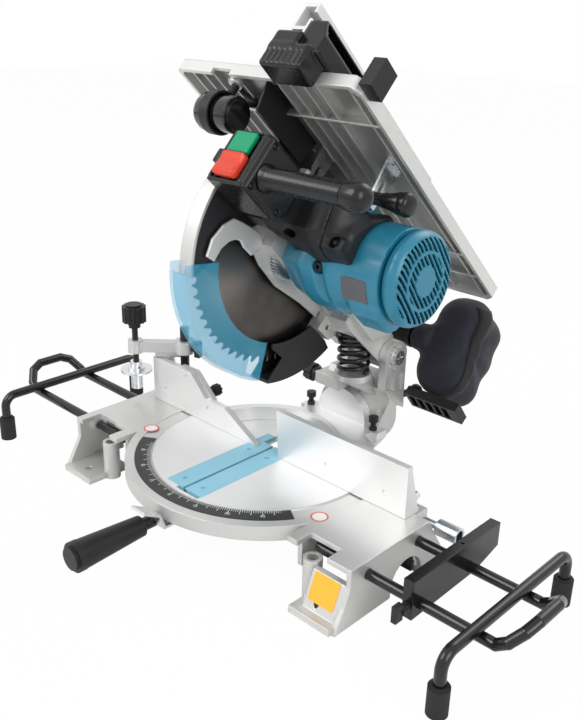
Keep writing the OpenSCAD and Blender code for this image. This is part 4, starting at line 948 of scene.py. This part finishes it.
def make_bag():
    """Meshes the pouch, runs 20 frames of cloth under pressure, and keeps at most a few mm of the move."""
    points, faces = surface_net(bag_form, (52, 222, -16), (140, 334, 120), 4.5)
    bag = add_piece("dust_bag_cloth", points, faces, CLOTH, "head", ["dust_bag"])
    start = np.array([v.co for v in bag.data.vertices])
    hold = bag.vertex_groups.new(name="collar")
    for vertex, place in zip(bag.data.vertices, points):
        near = np.hypot(place[1] - NOZZLE[0], place[2] - NOZZLE[1]) < 21 and place[0] < 74
        hold.add([vertex.index], 1.0 if near else 0.0, "REPLACE")
    cloth = bag.modifiers.new("cloth", "CLOTH")
    cloth.settings.vertex_group_mass = "collar"
    cloth.settings.use_pressure = True
    cloth.settings.uniform_pressure_force = 4
    cloth.settings.effector_weights.gravity = 0
    cloth.settings.tension_stiffness = 12
    cloth.settings.bending_stiffness = 0.4
    scene = bpy.context.scene
    for frame_number in range(1, 21):
        scene.frame_set(frame_number)
    shaped = bag.evaluated_get(bpy.context.evaluated_depsgraph_get()).to_mesh()
    moved = np.array([v.co for v in shaped.vertices]) - start
    bag.modifiers.remove(cloth)
    far = np.linalg.norm(moved, axis=1)[:, None]
    moved *= np.minimum(1, MOST_MOVED / np.maximum(far, 1e-9))
    bag.data.vertices.foreach_set("co", (start + moved).ravel())
    scene.frame_set(1)
    sag_folds(bag)
    smooth = bag.modifiers.new("smooth", "SUBSURF")
    smooth.levels = smooth.render_levels = 1
    return bag


def sag_folds(bag):
    """Long shallow folds fan out from the collar: two sines of the angle about it and of the distance
    out, which grow from nothing at the collar."""
    place = np.array([v.co for v in bag.data.vertices])
    centre = head_place([(52, *NOZZLE)])[0]
    away = place - centre
    angle = np.arctan2(away[:, 2], away[:, 1])
    reach = np.clip(np.linalg.norm(away, axis=1) / 0.09, 0, 1)
    waves = np.sin(9 * angle + 14 * away[:, 0]) + 0.6 * np.sin(5 * angle - 30 * away[:, 0])
    fold = FOLD_DEPTH * reach * waves
    middle = head_place([BAG])[0]
    out = place - middle
    out /= np.maximum(np.linalg.norm(out, axis=1), 1e-6)[:, None]
    bag.data.vertices.foreach_set("co", (place + out * fold[:, None]).ravel())
    bag.data.update()


STRAP_HALF, STRAP_LIFT, STRAP_THICK = 7, 0.0014, 0.0011


def strap_on(bag):
    """A woven strap laid on the bag's outer side: each row of points is cast on the cloth from outside."""
    knots = [(200, 242, 112), (200, 246, 84), (200, 252, 50), (200, 262, 14), (200, 268, -8)]
    rows = []
    for x, u, v in smooth_path(knots, 36):
        row = []
        for across in np.linspace(-STRAP_HALF, STRAP_HALF, 5):
            start = head_place([(x, u + across, v + 0.25 * across)])[0]
            hit, spot, normal, face = bag.ray_cast(start, (-1, 0, 0))
            if hit:
                row.append(np.array(spot) + np.array(normal) * STRAP_LIFT)
        if len(row) == 5:
            rows.append(row)
    points = np.concatenate(rows)
    faces = [(5 * i + j, 5 * i + j + 1, 5 * i + j + 6, 5 * i + j + 5)
             for i in range(len(rows) - 1) for j in range(4)]
    strap = add_piece("bag_strap", points / MM, faces, WEBBING, "head", place=world_place)
    thick = strap.modifiers.new("thick", "SOLIDIFY")
    thick.thickness, thick.offset = STRAP_THICK, 0.0


WEBBING = woven("black webbing", (0.003, 0.003, 0.003), (0.011, 0.011, 0.012))
strap_on(make_bag())
print("bag and strap made about", BAG)

# %% [markdown]
# Blank labels: plain rings on the wing tops and a plain yellow patch on the right leg. The numbers of
# the mitre scale are the plain degrees that any such scale carries.

# %% Labels and numbers
TABLE_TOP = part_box("mitre_scale")[1][2] / MM


def sheet_finish(name, color):
    """A printed film: one colour that drifts a little, under a thin gloss."""
    f = Finish(name, color, 0.35)
    cloud = f.noise(60, 2)
    f.set(**{"Base Color": f.mix(cloud, tuple(0.93 * c for c in color), color), "Coat Weight": 0.2})
    return f


WHITE, RING_RED, YELLOW = (sheet_finish(n, c) for n, c in (
    ("white label", (0.85, 0.85, 0.85)), ("red ring", (0.75, 0.10, 0.06)),
    ("yellow label", (0.95, 0.52, 0.03))))
for side, x in (("left", -145), ("right", 149)):
    spot = (x, -62, TABLE_TOP)
    lathe("label_" + side, [(0, 0), (0.12, 8.2), (0.12, 0)], spot, (0, 0, 1), WHITE, "base",
          place=world_place, turns=40)
    lathe("label_ring_" + side, [(0, 8), (0, 10), (0.25, 10), (0.25, 8), (0, 8)], spot, (0, 0, 1),
          RING_RED, "base", place=world_place, turns=40)


LEG_SPOT, LEG_HALF, LEG_CORNER = (209.0, 31.0), (17.0, 14.5), 3.0


def leg_label():
    """A rounded plain patch, each of its points cast on the sloping front of the right leg."""
    middle, half, corner = LEG_SPOT, LEG_HALF, LEG_CORNER
    ring = []
    for cx, cz, start in ((1, 1, 0), (-1, 1, 90), (-1, -1, 180), (1, -1, 270)):
        for a in np.radians(np.linspace(start, start + 90, 6)):
            ring.append((middle[0] + cx * (half[0] - corner) + corner * math.cos(a),
                         middle[1] + cz * (half[1] - corner) + corner * math.sin(a)))
    ring.append(middle)
    spots = []
    for x, z in ring:
        hit, spot, normal, face = NODES["base_casting"].ray_cast((x * MM, -0.3, z * MM), (0, 1, 0))
        spots.append([c / MM + 0.3 * n for c, n in zip(spot, normal)])
    print("label on the leg between", np.min(spots, 0).round(1), np.max(spots, 0).round(1))
    last = len(ring) - 1
    faces = [(i, (i + 1) % last, last) for i in range(last)]
    label = add_piece("label_leg", np.array(spots), faces, YELLOW, "base", place=world_place)
    label.data.polygons.foreach_set("use_smooth", np.zeros(len(label.data.polygons), bool))
    thick = label.modifiers.new("thick", "SOLIDIFY")
    thick.thickness, thick.offset = 0.0003, 0.0


leg_label()


def number(text, degrees, radius, size):
    """A flat plain number on the scale, its foot towards the operator's side of the ring."""
    data = bpy.data.curves.new("number_" + str(text), "FONT")
    data.body, data.size, data.align_x, data.align_y = str(text), size * MM, "CENTER", "CENTER"
    data.extrude = 0.00004
    made = bpy.data.objects.new("number", data)
    bpy.context.scene.collection.objects.link(made)
    mesh = bpy.data.meshes.new_from_object(made)
    bpy.data.objects.remove(made)
    a = math.radians(degrees)
    spot = Vector((radius * math.sin(a), -radius * math.cos(a), TABLE_TOP + 0.08)) * MM
    mesh.transform(Matrix.Translation(spot) @ Matrix.Rotation(a, 4, "Z"))
    piece = bpy.data.objects.new("scale_number_%d" % (degrees + 100), mesh)
    mesh.materials.clear()
    mesh.materials.append(WHITE.material)
    bpy.context.scene.collection.objects.link(piece)
    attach(piece, "base")


for degrees in (-45, -30, -15, 0, 15, 30, 45):
    number(abs(degrees), degrees, 149.5, 6)
print("labels and numbers placed")

# %% [markdown]
# The floor is a large pale plane. Camera, mirror and glass rays see a white world, while the world's
# light on the saw stays at a plain level.

# %% Floor and light
def make_floor():
    """A camera ray sees mostly plain white there, with a little of the floor's own soft shadow."""
    mesh = bpy.data.meshes.new("floor")
    s = 6.0
    mesh.from_pydata([(-s, -s, 0), (s, -s, 0), (s, s, 0), (-s, s, 0)], [], [(0, 1, 2, 3)])
    floor = bpy.data.objects.new("floor", mesh)
    bpy.context.scene.collection.objects.link(floor)
    f = Finish("floor", (0.93, 0.93, 0.93), 0.8)
    f.set(**{"Base Color": f.mix(f.noise(3, 1), (0.92, 0.92, 0.92), (0.94, 0.94, 0.94))})
    white = f.node("ShaderNodeEmission", {}, {"Color": (1, 1, 1, 1), "Strength": 1.0})
    seen = Value(f, f.node("ShaderNodeLightPath", {}, {}, "Is Camera Ray")) * 0.97
    both = f.node("ShaderNodeMixShader", {}, [seen, f.shader.outputs[0], white])
    f.tree.links.new(both, f.tree.nodes["Material Output"].inputs["Surface"])
    mesh.materials.append(f.material)


def make_world(level):
    """White to camera, mirror and glass rays, and the given level to all others."""
    world = bpy.data.worlds.new("world")
    world.use_nodes = True
    nodes, links = world.node_tree.nodes, world.node_tree.links
    path = nodes.new("ShaderNodeLightPath")
    seen = nodes.new("ShaderNodeMath")
    seen.operation = "MAXIMUM"
    links.new(path.outputs["Is Camera Ray"], seen.inputs[0])
    links.new(path.outputs["Is Glossy Ray"], seen.inputs[1])
    also = nodes.new("ShaderNodeMath")
    also.operation = "MAXIMUM"
    links.new(seen.outputs[0], also.inputs[0])
    links.new(path.outputs["Is Transmission Ray"], also.inputs[1])
    strength = nodes.new("ShaderNodeMix")
    strength.inputs[2].default_value = level
    strength.inputs[3].default_value = 1.0
    links.new(also.outputs[0], strength.inputs[0])
    background = nodes["Background"]
    background.inputs["Color"].default_value = (1, 1, 1, 1)
    links.new(strength.outputs[0], background.inputs["Strength"])
    bpy.context.scene.world = world


def area_light(name, place, target, size, power):
    """A square lamp that looks at a target."""
    data = bpy.data.lights.new(name, "AREA")
    data.shape = "RECTANGLE"
    data.size, data.size_y, data.energy = size, size, power
    light = bpy.data.objects.new(name, data)
    aim = (Vector(target) - Vector(place)).to_track_quat("-Z", "Y")
    light.matrix_world = Matrix.Translation(Vector(place)) @ aim.to_matrix().to_4x4()
    bpy.context.scene.collection.objects.link(light)


make_floor()
make_world(0.46)
area_light("key", (-0.9, -1.7, 1.9), (0, 0, 0.2), 1.4, 37)
area_light("side", (2.0, -0.6, 1.2), (0, 0, 0.25), 1.2, 20)
area_light("back", (0.3, 1.6, 1.8), (0, 0, 0.3), 1.2, 12)
print("floor, world and three lamps")
